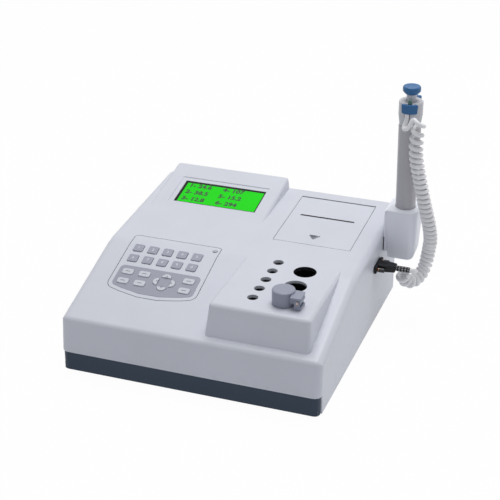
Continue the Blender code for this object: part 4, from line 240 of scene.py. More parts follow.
def mouldedPlastic(name, colour, roughness=0.42, grain=1700.0, depth=0.00002, specular=0.4):
    finish = Finish(name, specular=specular)
    fine = finish.noise(grain, 1.0)
    broad = finish.noise(moulding["mottle"], 3.0)
    share, contrast = moulding["mottleShare"], moulding["contrast"]
    tone = (broad * share + fine * (1 - share)) * contrast - (contrast - 1) / 2
    finish.tint(tone, *[tinted(colour, factor) for factor in moulding["tints"]])
    bloom = (fine - 0.5) * moulding["fineBloom"] + (broad - 0.5) * moulding["broadBloom"]
    finish.give("Roughness", roughness + bloom)
    finish.bump(fine, depth)
    return finish


# Drawn or ground metal, with its streaks along one way
brushing = {
    "scale": 220.0,
    "smudge": 35.0,
    "tints": (0.86, 1.12),
    "streakBloom": 0.22,
    "smudgeBloom": 0.14,
    "depth": 0.00001,
    "strength": 0.3,
}


def brushedMetal(name, colour, roughness=0.3, streaks=(1.0, 30.0, 30.0)):
    finish = Finish(name, metallic=1.0)
    streak = finish.noise(brushing["scale"], 3.0, streaks)
    smudge = finish.noise(brushing["smudge"], 2.0)
    finish.tint(streak, *[tinted(colour, factor) for factor in brushing["tints"]])
    bloom = (streak - 0.5) * brushing["streakBloom"] + (smudge - 0.5) * brushing["smudgeBloom"]
    finish.give("Roughness", roughness + bloom)
    finish.bump(streak, brushing["depth"], brushing["strength"])
    return finish


# Light, floor and backdrop
studio = {
    "middle": (0.0, 0.0, 0.09),
    "keyPlace": (0.05, 0.42, 1.85),
    "keyPower": 20.0,
    "keySize": 1.0,
    "sidePlace": (1.7, 0.7, 0.5),
    "sidePower": 2.5,
    "sideSize": 1.2,
    "ambient": (0.385, 0.39, 0.41),
    "floorTone": (0.84, 0.85, 0.87),
    "floorWhite": 0.975,
    "floorSize": 8.0,
}


def areaLight(name, place, power, size):
    deselectAll()
    aim = Vector(studio["middle"]) - Vector(place)
    bpy.ops.object.light_add(
        type="AREA", location=place, rotation=aim.to_track_quat("-Z", "Y").to_euler()
    )
    lamp = bpy.context.object
    lamp.name = name
    lamp.data.energy = power
    lamp.data.size = size


# The floor and the backdrop are white to the eye and in reflections, and softer as light
def seenPlainly(tree):
    path = tree.node("ShaderNodeLightPath")
    direct, glossy, through = [
        Socket(tree, path.output.node.outputs[f"Is {way} Ray"])
        for way in ("Camera", "Glossy", "Transmission")
    ]
    return direct + glossy + through


def makeStudio():
    areaLight("keyLight", studio["keyPlace"], studio["keyPower"], studio["keySize"])
    areaLight("sideLight", studio["sidePlace"], studio["sidePower"], studio["sideSize"])
    world = bpy.data.worlds.new("studioWorld")
    bpy.context.scene.world = world
    sky = Tree(world)
    sky.nodes.clear()
    soft = sky.node("ShaderNodeBackground", {}, {"Color": (*studio["ambient"], 1.0)})
    white = sky.node("ShaderNodeBackground", {}, {"Color": (1.0, 1.0, 1.0, 1.0)})
    both = sky.node("ShaderNodeMixShader", {}, {0: seenPlainly(sky), 1: soft, 2: white})
    sky.links.new(both.output, sky.nodes.new("ShaderNodeOutputWorld").inputs[0])
    deselectAll()
    bpy.ops.mesh.primitive_plane_add(size=studio["floorSize"])
    floor = bpy.context.object
    floor.name = "floor"
    ground = bpy.data.materials.new("studioFloor")
    tree = Tree(ground)
    tree.nodes.clear()
    matt = tree.node("ShaderNodeBsdfDiffuse", {}, {"Color": (*studio["floorTone"], 1.0)})
    glow = tree.node("ShaderNodeEmission", {}, {"Color": (1.0, 1.0, 1.0, 1.0)})
    share = seenPlainly(tree) * studio["floorWhite"]
    both = tree.node("ShaderNodeMixShader", {}, {0: share, 1: matt, 2: glow})
    tree.links.new(both.output, tree.nodes.new("ShaderNodeOutputMaterial").inputs[0])
    floor.data.materials.append(ground)


makeStudio()
print("studio lit")

# Curly cord: its route repeats the part's, drawn rounder and with closer turns in its lower bend
cord = {
    "wireRadius": 0.00235,
    "coilRadius": 0.0055,
    "topPitch": 0.0135,
    "coilPitch": 0.0056,
    "pitchFade": 0.100,
    "pitchPower": 4,
    "bendGap": -0.0006,
    "leastSqueeze": 0.62,
    "curlPoints": 16,
    "leadPoints": 10,
    "coilStart": 135.0,
    "leadPull": 0.0085,
    "hangPull": 0.005,
    "turnPull": 0.0155,
    "endPull": 0.0065,
    "spacing": 0.0025,
    "leastSpan": 0.000001,
    "axisSteps": 8,
    "routeSteps": 2,
    "top": (0.30098, 0.23378, 0.2387),
    "bottom": (0.3015, 0.2270, 0.2239),
    "bottomHeading": (0.9, -0.35, 0.30),
    "end": (0.3196, 0.208, 0.0695),
    "blendLow": (0.3, 0.23, 0.10),
    "blendHigh": (0.3, 0.23, 0.232),
    "length": 1.307,
}
jacket = {"colour": (0.91, 0.91, 0.92), "roughness": 0.36, "grain": 900.0, "depth": 0.00001}
handling = {"scale": 60.0, "share": 0.3, "tone": (0.74, 0.73, 0.73)}
coilAxis = [
    (0.3161, 0.2294, 0.2345),
    (0.3143, 0.2292, 0.2210),
    (0.3137, 0.2290, 0.2090),
    (0.3147, 0.2290, 0.1920),
    (0.3187, 0.2282, 0.1738),
    (0.3233, 0.2280, 0.1552),
    (0.3275, 0.2296, 0.1365),
    (0.3323, 0.2340, 0.1130),
    (0.3335, 0.2390, 0.0950),
    (0.3324, 0.2415, 0.0861),
    (0.3305, 0.2425, 0.0705),
    (0.3285, 0.2395, 0.0592),
    (0.3252, 0.2325, 0.0518),
    (0.3200, 0.2245, 0.0486),
    (0.3147, 0.2180, 0.0509),
    (0.3112, 0.2140, 0.0566),
    (0.3101, 0.2125, 0.0627),
]


# A Catmull-Rom curve through the points
def smoothCurve(points, steps):
    places = [Vector(point) for point in points]
    ends = [places[0] * 2 - places[1]] + places + [places[-1] * 2 - places[-2]]
    curve = []
    for index in range(1, len(ends) - 2):
        before, here, after, beyond = ends[index - 1 : index + 3]
        for step in range(steps):
            share = step / steps
            curve.append(
                0.5
                * (
                    2 * here
                    + (after - before) * share
                    + (2 * before - 5 * here + 4 * after - beyond) * share**2
                    + (3 * here - before - 3 * after + beyond) * share**3
                )
            )
    curve.append(places[-1])
    return curve


def lengthsAlong(points):
    total = [0.0]
    for first, second in zip(points, points[1:]):
        total.append(total[-1] + (second - first).length)
    return total


def readAt(points, lengths, distance):
    distance = min(max(distance, 0.0), lengths[-1])
    index = 1
    while index < len(lengths) - 1 and lengths[index] < distance:
        index += 1
    span = lengths[index] - lengths[index - 1]
    share = (distance - lengths[index - 1]) / span if span else 0.0
    return points[index - 1].lerp(points[index], share)


# The turn of the route for each metre of its length
def bendAt(points, lengths, distance):
    reach = cord["coilRadius"]
    here = readAt(points, lengths, distance)
    first = here - readAt(points, lengths, distance - reach)
    second = readAt(points, lengths, distance + reach) - here
    if min(first.length, second.length) < cord["leastSpan"]:
        return 0.0
    return first.angle(second) / ((first.length + second.length) / 2)


# A helix about the axis, with a longer pitch where the axis bends
def coilPoints(axisPoints):
    lengths = lengthsAlong(axisPoints)
    radius, wire = cord["coilRadius"], cord["wireRadius"]
    distance = 0.0
    turn = radians(cord["coilStart"])
    side = Vector((1.0, 0.0, 0.0))
    points = []
    while distance < lengths[-1]:
        here = readAt(axisPoints, lengths, distance)
        ahead = readAt(axisPoints, lengths, distance + wire)
        behind = readAt(axisPoints, lengths, distance - wire)
        along = (ahead - behind).normalized()
        side = (side - along * side.dot(along)).normalized()
        other = along.cross(side)
        points.append(here + side * (radius * cos(turn)) + other * (radius * sin(turn)))
        fade = (1 - min(distance / cord["pitchFade"], 1.0)) ** cord["pitchPower"]
        pitch = cord["coilPitch"] + (cord["topPitch"] - cord["coilPitch"]) * fade
        squeeze = max(1 - bendAt(axisPoints, lengths, distance) * radius, cord["leastSqueeze"])
        pitch = max(pitch, (2 * wire + cord["bendGap"]) / squeeze)
        distance += pitch / cord["curlPoints"]
        turn -= 2 * pi / cord["curlPoints"]
    return points


# A Bezier stretch that leaves along one heading and arrives along another
def leadPoints(start, heading, end, arrival, leavingPull, arrivingPull):
    first = start + heading * leavingPull
    last = end - arrival * arrivingPull
    points = []
    for step in range(1, cord["leadPoints"]):
        share = step / cord["leadPoints"]
        rest = 1 - share
        points.append(
            start * rest**3
            + first * (3 * rest**2 * share)
            + last * (3 * rest * share**2)
            + end * share**3
        )
    return points


# The coil ends where its last turn heads most to the right, away from the connector
def cordRoute():
    straight = 2 * cord["wireRadius"]
    top, bottom, end = [Vector(cord[name]) for name in ("top", "bottom", "end")]
    heading = Vector(cord["bottomHeading"]).normalized()
    down, inward = Vector((0.0, 0.0, -1.0)), Vector((-1.0, 0.0, 0.0))
    coil = coilPoints(smoothCurve(coilAxis, cord["axisSteps"]))
    forward = []
    for index in range(len(coil) - cord["curlPoints"], len(coil)):
        way = (coil[index] - coil[index - 1]).normalized()
        forward.append((way.x, index))
    coil = coil[: max(forward)[1] + 1]
    firstTurn = (coil[1] - coil[0]).normalized()
    lastTurn = (coil[-1] - coil[-2]).normalized()
    hung, entry = top + down * straight, end - inward * cord["wireRadius"]
    hangPull, leadPull = cord["hangPull"], cord["leadPull"]
    route = [top, hung]
    route += leadPoints(hung, down, bottom, heading, hangPull, hangPull)
    route.append(bottom)
    route += leadPoints(bottom, heading, coil[0], firstTurn, leadPull, leadPull)
    route += coil
    route += leadPoints(coil[-1], lastTurn, entry, inward, cord["turnPull"], cord["endPull"])
    route += [entry, end]
    lengths = lengthsAlong(route)
    steps = round(lengths[-1] / cord["spacing"])
    even = [readAt(route, lengths, lengths[-1] * step / steps) for step in range(steps + 1)]
    return [point + corner for point in smoothCurve(even, cord["routeSteps"])]


def cordFinish():
    finish = mouldedPlastic("cordJacket", **jacket)
    handled = finish.noise(handling["scale"], 2.0)
    finish.paint(handled * handling["share"], handling["tone"])
    return finish.material


def tubeAlong(points, radius, name, closed=False, resolution=3, smoothAngle=60.0):
    curve = bpy.data.curves.new(name, "CURVE")
    curve.dimensions = "3D"
    curve.bevel_depth = radius
    curve.bevel_resolution = resolution
    curve.use_fill_caps = not closed
    spline = curve.splines.new("POLY")
    spline.points.add(len(points) - 1)
    for place, point in zip(spline.points, points):
        place.co = (*point, 1.0)
    spline.use_cyclic_u = closed
    piece = bpy.data.objects.new(name, curve)
    bpy.context.collection.objects.link(piece)
    makeActive(piece)
    bpy.ops.object.convert(target="MESH")
    bpy.ops.object.shade_smooth_by_angle(angle=radians(smoothAngle))
    return bpy.context.object


def makeCord():
    route = cordRoute()
    piece = tubeAlong(route, cord["wireRadius"], "curlyCord")
    piece.data.materials.clear()
    piece.data.materials.append(cordFinish())
    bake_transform(piece)
    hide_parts("curly_cord")
    return piece, route


cordPiece, cordPath = makeCord()
print(f"cord drawn, {lengthsAlong(cordPath)[-1]:.3f} m")


# Edges are rounded, from a thin sheet's to a thick moulding's
edges = {
    "none": 0.0,
    "sheet": 0.0001,
    "knurl": 0.00012,
    "fine": 0.00015,
    "small": 0.0002,
    "usual": 0.0003,
    "soft": 0.0004,
    "round": 0.0006,
}
dressing = {"merge": 0.000002, "flatAngle": 0.4, "edgeAngle": 32.0}


def capitals(node):
    return "".join(word.capitalize() for word in node.split("_"))


# Every CAD solid gets a copy with merged faces, rounded edges and smooth shading
def dressed(node, finish, edge="usual", segments=2, smoothAngle=34.0):
    source = frame["nodes"][node]
    body = source["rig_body"]
    makeActive(source)
    bpy.ops.object.duplicate()
    piece = bpy.context.object
    name = capitals(node)
    piece.name = piece.data.name = name[0].lower() + name[1:]
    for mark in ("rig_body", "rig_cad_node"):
        if mark in piece:
            del piece[mark]
    piece.parent = None
    bpy.ops.object.mode_set(mode="EDIT")
    bpy.ops.mesh.customdata_custom_splitnormals_clear()
    bpy.ops.mesh.select_all(action="SELECT")
    bpy.ops.mesh.remove_doubles(threshold=dressing["merge"])
    bpy.ops.mesh.dissolve_limited(angle_limit=radians(dressing["flatAngle"]))
    bpy.ops.object.mode_set(mode="OBJECT")
    if edges[edge]:
        bpy.ops.object.modifier_add(type="BEVEL")
        rounding = piece.modifiers[-1]
        rounding.width = edges[edge]
        rounding.segments = segments
        rounding.limit_method = "ANGLE"
        rounding.angle_limit = radians(dressing["edgeAngle"])
        rounding.use_clamp_overlap = True
        bpy.ops.object.modifier_apply(modifier=rounding.name)
    bpy.ops.object.shade_smooth_by_angle(angle=radians(smoothAngle))
    bpy.ops.object.modifier_add(type="WEIGHTED_NORMAL")
    piece.modifiers[-1].keep_sharp = True
    bpy.ops.object.modifier_apply(modifier=piece.modifiers[-1].name)
    piece.data.materials.clear()
    piece.data.materials.append(finish)
    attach(piece, body)
    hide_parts(node)
    return piece


facing = {"steepest": 0.9, "leastArea": 0.0000001, "parallel": 0.9999, "level": 0.00002}


# The highest flat face of a node that looks up, as a frame: x points to the right, y up the
# slope and z out of the face
def topFrame(node):
    mesh = frame["nodes"][node].data
    mesh.calc_loop_triangles()
    faces = [
        face
        for face in mesh.loop_triangles
        if face.normal.z > facing["steepest"] and face.area > facing["leastArea"]
    ]
    normal = max(faces, key=lambda face: face.area).normal.copy()
    level = [face for face in faces if face.normal.dot(normal) > facing["parallel"]]
    points = [mesh.vertices[index].co for face in level for index in face.vertices]
    top = max(point.dot(normal) for point in points)
    points = [point for point in points if point.dot(normal) > top - facing["level"]]
    low = Vector([min(point[way] for point in points) for way in range(3)])
    high = Vector([max(point[way] for point in points) for way in range(3)])
    across = Vector((1.0, 0.0, 0.0))
    turn = Matrix((across, normal.cross(across), normal)).transposed().to_4x4()
    return Matrix.Translation((low + high) / 2) @ turn


def layOn(piece, place, lift, across=0.0, along=0.0):
    makeActive(piece)
    piece.matrix_world = place @ Matrix.Translation((across, along, lift)) @ piece.matrix_world
    bpy.ops.object.transform_apply(location=True, rotation=True, scale=True)


def wordMark(text, size, thickness=0.00002, boldness=0.0):
    deselectAll()
    bpy.ops.object.text_add()
    mark = bpy.context.object
    mark.data.body = text
    mark.data.size = size
    mark.data.extrude = thickness
    mark.data.resolution_u = 3
    mark.data.offset = boldness
    mark.data.align_x, mark.data.align_y = "CENTER", "CENTER"
    bpy.ops.object.convert(target="MESH")
    return bpy.context.object


def joinedMarks(marks):
    deselectAll()
    for mark in marks:
        mark.select_set(True)
    bpy.context.view_layer.objects.active = marks[0]
    bpy.ops.object.join()
    return bpy.context.object


# A piece that the CAD doesn't have
def finished(piece, name, finish, body):
    piece.name = piece.data.name = name
    piece.data.materials.clear()
    piece.data.materials.append(finish)
    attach(piece, body)


# Housing, with its side outline as depths and heights from the corner
form = {
    "slopeFront": (0.0035, 0.05977),
    "bend": (0.1264, 0.09566),
    "deckRear": (0.299, 0.1049),
    "blockTop": 0.0965,
}
shell = {"colour": (0.655, 0.675, 0.735), "roughness": 0.40}
soil = {
    "full": 0.020,
    "none": 0.034,
    "scale": 90.0,
    "least": 0.56,
    "share": 0.10,
    "tone": (0.42, 0.42, 0.44),
}
base = {"colour": (0.017, 0.036, 0.067), "roughness": 0.5, "grain": 1300.0, "depth": 0.00003}
feet = {
    "colour": (0.02, 0.02, 0.021),
    "roughness": 0.75,
    "grain": 2200.0,
    "depth": 0.00004,
    "specular": 0.3,
}


# Inside these gaps no light falls, so shade is painted dark there: round the door and the
# overlay, and in the rear large well.
# The door's area ends short of its rear gap, which is paler.
gaps = {
    "door": ((0.1725, 0.2610), (0.1745, 0.2810)),
    "overlay": ((0.0270, 0.1297), (0.0405, 0.1397)),
    "depth": 0.00009,
    "bendReach": 0.009,
    "bendDip": 0.0006,
    # The colour of the painted shade in the gaps and along the holder's joint
    "dark": (0.02, 0.021, 0.026),
    # The painted shadow line along the holder's joint with the wall: its width, and how far below
    # the deck it begins
    "seam": 0.0008,
    "seamTop": 0.008,
    "well": (0.2288, 0.1164),
    "wellRadius": 0.0126,
    "wellDepth": 0.0003,
}


def turnBetween(first, second):
    return atan((second[1] - first[1]) / (second[0] - first[0]))


slopeTurn = turnBetween(form["slopeFront"], form["bend"])
deckTurn = turnBetween(form["bend"], form["deckRear"])


def heightOver(finish, turn, place):
    up = Vector((0.0, -sin(turn), cos(turn)))
    start = corner + Vector((0.0, *place))
    return finish.y * up.y + finish.z * up.z - start.dot(up)


def slopeHeight(finish):
    return heightOver(finish, slopeTurn, form["slopeFront"])


def deckHeight(finish):
    return heightOver(finish, deckTurn, form["bend"])


# Deeper is asked for at the bend, where the surface is rounded and lies under both planes
def sunken(finish):
    bend = finish.near(finish.y, corner.y + form["bend"][0], gaps["bendReach"])
    top = slopeHeight(finish).largest(deckHeight(finish))
    return top + bend * gaps["bendDip"] < -gaps["depth"]


def within(finish, sides):
    (left, right), (front, rear) = sides
    across = finish.near(finish.x, corner.x + (left + right) / 2, (right - left) / 2)
    return across * finish.near(finish.y, corner.y + (front + rear) / 2, (rear - front) / 2)


# Painted shade on the sunken faces round the door and the overlay, and on the rear large well's
# wall
def darken(finish):
    mask = sunken(finish) * (within(finish, gaps["door"]) + within(finish, gaps["overlay"]))
    x, y = gaps["well"]
    out = distanceOf(finish.x - (corner.x + x), finish.y - (corner.y + y))
    deep = finish.z < corner.z + form["blockTop"] - gaps["wellDepth"]
    finish.paint(mask + (out < gaps["wellRadius"]) * deep, gaps["dark"])


def shellFinish():
    finish = mouldedPlastic("paleShell", **shell)
    ends = {0: finish.z, 1: corner.z + soil["full"], 2: corner.z + soil["none"]}
    low = 1.0 - finish.node("ShaderNodeMapRange", {}, ends)
    scuff = finish.noise(soil["scale"], 4.0)
    finish.paint(low * (scuff > soil["least"]) * soil["share"], soil["tone"])
    darken(finish)
    return finish.material


def makeHousing():
    dressed("upper_housing", shellFinish(), "soft")
    dressed("base_tray", mouldedPlastic("slateBase", **base).material)
    rubber = mouldedPlastic("footRubber", **feet).material
    for number in range(1, 5):
        dressed(f"foot_{number}", rubber)


makeHousing()
print("housing dressed")

# Display
display = {
    "green": (0.014, 0.74, 0.008),
    "tints": (0.92, 1.06),
    "roughness": 0.35,
    "specular": 0.1,
    "glow": 14.0,
    "frame": (0.012, 0.013, 0.012),
    "halfWidth": 0.0489,
    "halfHeight": 0.0209,
    "border": 0.0010,
    "shade": (0.0021, 0.0024),
    "pixel": 0.0007,
    "pixelEdge": 0.93,
    "pixelShare": 0.10,
    "pixelTint": 0.7,
    "ink": (0.001, 0.022, 0.002),
    "inkTint": 1.6,
    "inkGrain": 900.0,
    "inkRoughness": 0.4,
    "readings": ("1- 24.6", "2- 38.5", "3- 12.8", "4- 107", "5- 15.2", "6- 294"),
    "rowGap": 0.0130,
    "columns": (-0.0286, 0.0118),
    "textSize": 0.0098,
    "boldness": 0.00038,
    "lift": 0.00004,
}


# A grid of green pixels inside the module's dark border, with a painted shadow that widens the
# dark frame on its left and upper sides
def displayFinish(place):
    finish = Finish("greenDisplay", display["roughness"], specular=display["specular"])
    along = Vector((0.0, place[1][1], place[2][1]))
    middle = place.translation
    rise = finish.y * along.y + finish.z * along.z - middle.dot(along)
    tints = [tinted(display["green"], factor) for factor in display["tints"]]
    glow = finish.mix(finish.noise(display["glow"], 1.0), *tints)
    turns = 2 * pi / display["pixel"]
    lines = (rise * turns).sine() > display["pixelEdge"]
    columns = (finish.x * turns).sine() > display["pixelEdge"]
    cell = (lines + columns) * display["pixelShare"]
    green = finish.mix(cell, glow, tinted(display["green"], display["pixelTint"]))
    left, top = [width / 2 for width in display["shade"]]
    wide = display["halfWidth"] - display["border"] - left
    high = display["halfHeight"] - display["border"] - top
    inside = finish.near(finish.x, middle.x + left, wide) * finish.near(rise, -top, high)
    finish.tint(inside, display["frame"], green)
    return finish.material


def inkFinish():
    finish = Finish("displayInk", display["inkRoughness"])
    ink = display["ink"]
    grain = finish.noise(display["inkGrain"], 1.0)
    finish.tint(grain, ink, tinted(ink, display["inkTint"]))
    return finish.material


def makeDisplay():
    place = topFrame("lcd_module")
    dressed("lcd_module", displayFinish(place), "none")
    marks = []
    for number, reading in enumerate(display["readings"]):
        column, row = divmod(number, 3)
        mark = wordMark(reading, display["textSize"], boldness=display["boldness"])
        across, along = display["columns"][column], (1 - row) * display["rowGap"]
        layOn(mark, place, display["lift"], across, along)
        marks.append(mark)
    readings = joinedMarks(marks)
    finished(readings, "displayReadings", inkFinish(), housing)


makeDisplay()
print("display made")

# Keypad
keypad = {
    "plate": {
        "colour": (0.655, 0.675, 0.735),
        "roughness": 0.36,
        "grain": 2600.0,
        "depth": 0.00001,
    },
    "field": (0.345, 0.355, 0.42),
    "fieldRise": 0.0001,
    "numberKey": {"colour": (0.36, 0.372, 0.44), "roughness": 0.5, "grain": 2400.0},
    "whiteKey": {"colour": (0.62, 0.635, 0.69), "roughness": 0.45, "grain": 2400.0},
    "digitInk": {
        "colour": (0.80, 0.81, 0.84),
        "roughness": 0.4,
        "grain": 2600.0,
        "depth": 0.00001,
    },
    "keyInk": {
        "colour": (0.20, 0.205, 0.25),
        "roughness": 0.4,
        "grain": 2600.0,
        "depth": 0.00001,
    },
    "lens": {
        "colour": (0.42, 0.435, 0.49),
        "roughness": 0.18,
        "grain": 500.0,
        "depth": 0.000005,
    },
    "digitSize": 0.0050,
    "digitLift": 0.00002,
    "markLift": 0.00004,
    "dash": (0.0052, 0.0009),
    "arrowRadius": 0.0021,
    "arrowLine": 0.00055,
    "arrowOut": 0.0075,
    "arrowMiddle": 0.0729,
}
# The painted shadow line round the overlay: a near-black tube
gapShadow = {
    "colour": (0.07, 0.072, 0.082),
    "roughness": 0.6,
    "grain": 2500.0,
    "depth": 0.00001,
    "specular": 0.2,
}
gapShadowLine = {"drop": 0.0001, "radius": 0.00028}


# The function field stands a little proud of the plate
def overlayFinish():
    finish = mouldedPlastic("overlayFilm", **keypad["plate"])
    finish.paint(slopeHeight(finish) > keypad["fieldRise"], keypad["field"])
    # Painted shade on the sunken faces: the key holes' walls and the gap round the plate
    finish.paint(sunken(finish), gaps["dark"])
    return finish.material


def arrowMark(turn):
    deselectAll()
    bpy.ops.mesh.primitive_circle_add(
        vertices=3, radius=keypad["arrowRadius"], fill_type="NGON"
    )
    mark = bpy.context.object
    bpy.ops.object.mode_set(mode="EDIT")
    bpy.ops.mesh.select_all(action="SELECT")
    bpy.ops.mesh.inset(thickness=keypad["arrowLine"])
    bpy.ops.mesh.delete(type="FACE")
    bpy.ops.object.mode_set(mode="OBJECT")
    out = Matrix.Translation((0.0, keypad["arrowOut"], 0.0))
    mark.matrix_world = Matrix.Rotation(turn, 4, "Z") @ out
    bpy.ops.object.transform_apply(location=True, rotation=True, scale=True)
    return mark


def dashMark(width, height):
    deselectAll()
    bpy.ops.mesh.primitive_plane_add(size=1.0)
    mark = bpy.context.object
    mark.scale = (width, height, 1.0)
    bpy.ops.object.transform_apply(location=True, rotation=True, scale=True)
    bpy.ops.object.mode_set(mode="EDIT")
    bpy.ops.mesh.select_all(action="SELECT")
    bpy.ops.mesh.bevel(offset=height / 3, segments=3, affect="VERTICES")
    bpy.ops.object.mode_set(mode="OBJECT")
    return mark


# The outer edge of a node's faces that look up, in order
def topOutline(node):
    mesh = frame["nodes"][node].data
    mesh.calc_loop_triangles()
    sides = {}
    for face in mesh.loop_triangles:
        if face.normal.z > facing["steepest"]:
            ends = [tuple(round(way, 6) for way in mesh.vertices[v].co) for v in face.vertices]
            for side in zip(ends, ends[1:] + ends[:1]):
                sides[frozenset(side)] = sides.get(frozenset(side), 0) + 1
    neighbours = {}
    for side, faceCount in sides.items():
        if faceCount == 1 and len(side) == 2:
            ends = tuple(side)
            for first, second in (ends, ends[::-1]):
                neighbours.setdefault(first, []).append(second)
    outline = [min(neighbours)]
    while len(outline) < len(neighbours):
        onward = [point for point in neighbours[outline[-1]] if point not in outline[-2:]]
        if not onward or onward[0] == outline[0]:
            break
        outline.append(onward[0])
    return [Vector(point) for point in outline]


def makeOverlay():
    dressed("keypad_overlay", overlayFinish(), "fine", 1)
    # A near-black tube sunk just under the overlay's outline is a painted shadow line along the
    # gap round the plate
    drop = Vector((0.0, 0.0, gapShadowLine["drop"]))
    outline = [point - drop for point in topOutline("keypad_overlay")]
    line = tubeAlong(outline, gapShadowLine["radius"], "overlaySeal", True, 1)
    dark = mouldedPlastic("gapShadowBlack", **gapShadow).material
    finished(line, "overlaySeal", dark, housing)


def makeNumberKeys():
    grey = mouldedPlastic("greyKey", **keypad["numberKey"]).material
    ink = mouldedPlastic("digitInk", **keypad["digitInk"]).material
    for digit in range(10):
        key = f"key_{digit}"
        dressed(key, grey)
        mark = wordMark(str(digit), keypad["digitSize"])
        layOn(mark, topFrame(key), keypad["digitLift"])
        finished(mark, f"digit{digit}", ink, f"{key}_body")


# The arrows lie in the upper key's plane, each turned about the middle of the four keys
def makeWhiteKeys():
    white = mouldedPlastic("whiteKey", **keypad["whiteKey"]).material
    ink = mouldedPlastic("keyInk", **keypad["keyInk"]).material
    for key in [f"function_key_{number}" for number in range(1, 5)] + ["key_enter", "key_escape"]:
        dressed(key, white)
        mark = dashMark(*keypad["dash"])
        layOn(mark, topFrame(key), keypad["markLift"])
        finished(mark, f"dash{capitals(key)}", ink, f"{key}_body")
    upper = topFrame("arrow_up")
    back = upper.translation.y - (corner.y + keypad["arrowMiddle"])
    for way, turn in (("up", 0.0), ("left", pi / 2), ("down", pi), ("right", -pi / 2)):
        key = f"arrow_{way}"
        dressed(key, white)
        mark = arrowMark(turn)
        layOn(mark, upper, keypad["markLift"], along=-back / cos(slopeTurn))
        finished(mark, f"arrowMark{way.capitalize()}", ink, f"{key}_body")


# A board with copper tracks under its green lacquer
board = {
    "roughness": 0.32,
    "lacquer": ((0.012, 0.13, 0.045), (0.02, 0.19, 0.07)),
    "mottle": 400.0,
    "track": (0.06, 0.34, 0.12),
    "trackShare": 0.6,
    "trackHeight": 0.00003,
    "trackStrength": 0.4,
    "offset": 0.37,
    "scale": 120.0,
    "mortar": 0.03,
    "brick": (0.25, 0.25, 0.25, 1.0),
}


def boardFinish():
    finish = Finish("circuitBoard", board["roughness"])
    tracks = finish.node(
        "ShaderNodeTexBrick",
        {"offset": board["offset"]},
        {
            "Vector": finish.place,
            "Color1": (0.0, 0.0, 0.0, 1.0),
            "Color2": board["brick"],
            "Mortar": (1.0, 1.0, 1.0, 1.0),
            "Scale": board["scale"],
            "Mortar Size": board["mortar"],
        },
    )
    finish.tint(finish.noise(board["mottle"], 2.0), *board["lacquer"])
    finish.paint(tracks * board["trackShare"], board["track"])
    finish.bump(tracks, board["trackHeight"], board["trackStrength"])
    return finish.material


def makeKeypad():
    makeOverlay()
    makeNumberKeys()
    makeWhiteKeys()
    lens = mouldedPlastic("greyLens", **keypad["lens"]).material
    dressed("power_led", lens, "sheet")
    lacquered = boardFinish()
    for node in ("keypad_board", "main_board"):
        dressed(node, lacquered, "none")


makeKeypad()
print("keypad dressed")

# Wells, channel and cap
wells = {
    "metal": (0.60, 0.61, 0.63),
    "dark": (0.07, 0.072, 0.078),
    # The painted shade, near black, below the blocks' rim
    "bore": (0.008, 0.008, 0.009),
    "roughness": 0.32,
    "streaks": (1.0, 26.0, 26.0),
    "specular": 0.12,
    "skin": 0.0028,
    "gap": 0.0003,
    "rim": 0.0004,
}
cap = {"colour": (0.30, 0.32, 0.40), "roughness": 0.34, "grain": 2000.0, "depth": 0.00001}
pin = {"copper": (0.55, 0.38, 0.28), "roughness": 0.38, "headRadius": 0.0011}


# The blocks lie under the shell's skin, and below their upper rim they are painted near black,
# not metal, as shade for their shadowed bores
def blockFinish(name, metal):
    finish = brushedMetal(name, metal, wells["roughness"], wells["streaks"])
    finish.give("Specular IOR Level", wells["specular"])
    top = corner.z + form["blockTop"] - wells["skin"] - wells["gap"]
    finish.paintMetal(finish.z < top - wells["rim"], wells["bore"])
    return finish.material


# The pin's head is copper inside a ring of the bracket's grey
def pinFinish():
    finish = brushedMetal("copperPin", pin["copper"], pin["roughness"])
    low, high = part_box("cap_pin")
    across, up = finish.x - (low[0] + high[0]) / 2, finish.z - (low[2] + high[2]) / 2
    finish.paintMetal(distanceOf(across, up) > pin["headRadius"], cap["colour"])
    return finish.material


def makeWells():
    for node, metal in (("incubation_block", "metal"), ("measuring_block", "dark")):
        finish = blockFinish(node.split("_")[0] + "Metal", wells[metal])
        dressed(node, finish)
    grey = mouldedPlastic("capGrey", **cap).material
    dressed("channel_cap", grey, "round", 3, smoothAngle=25.0)
    dressed("cap_bracket", grey)
    dressed("cap_pin", pinFinish(), "small")


makeWells()
print("wells and cap dressed")

# Printer under its door
printer = {
    "edgeShadeDepth": 0.0014,
    "skin": 0.0002,
    "markX": 0.2147,
    "markY": 0.1957,
    "markWidth": 0.0118,
    "markSpread": 0.0001,
    "markStep": 0.0022,
    "markBar": 0.00176,
    "markCount": 4,
    "markTone": (0.115, 0.12, 0.16),
    "barX": 0.216,
    "barY": 0.23735,
    "barLength": 0.0625,
    "barWidth": 0.0009,
    "barHeight": 0.00012,
    "barLift": 0.00003,
    "toothReach": 0.00035,
    "teeth": 62,
}
paper = {
    "tones": ((0.72, 0.72, 0.70), (0.84, 0.84, 0.82)),
    "roughness": 0.8,
    "specular": 0.2,
    "fibre": 700.0,
    "depth": 0.00003,
}
platen = {
    "colour": (0.022, 0.022, 0.023),
    "roughness": 0.7,
    "grain": 2500.0,
    "depth": 0.00003,
    "specular": 0.3,
}
black = {"colour": (0.017, 0.017, 0.019), "roughness": 0.42, "grain": 1500.0, "depth": 0.00003}
blackPlastic = mouldedPlastic("blackPlastic", **black).material


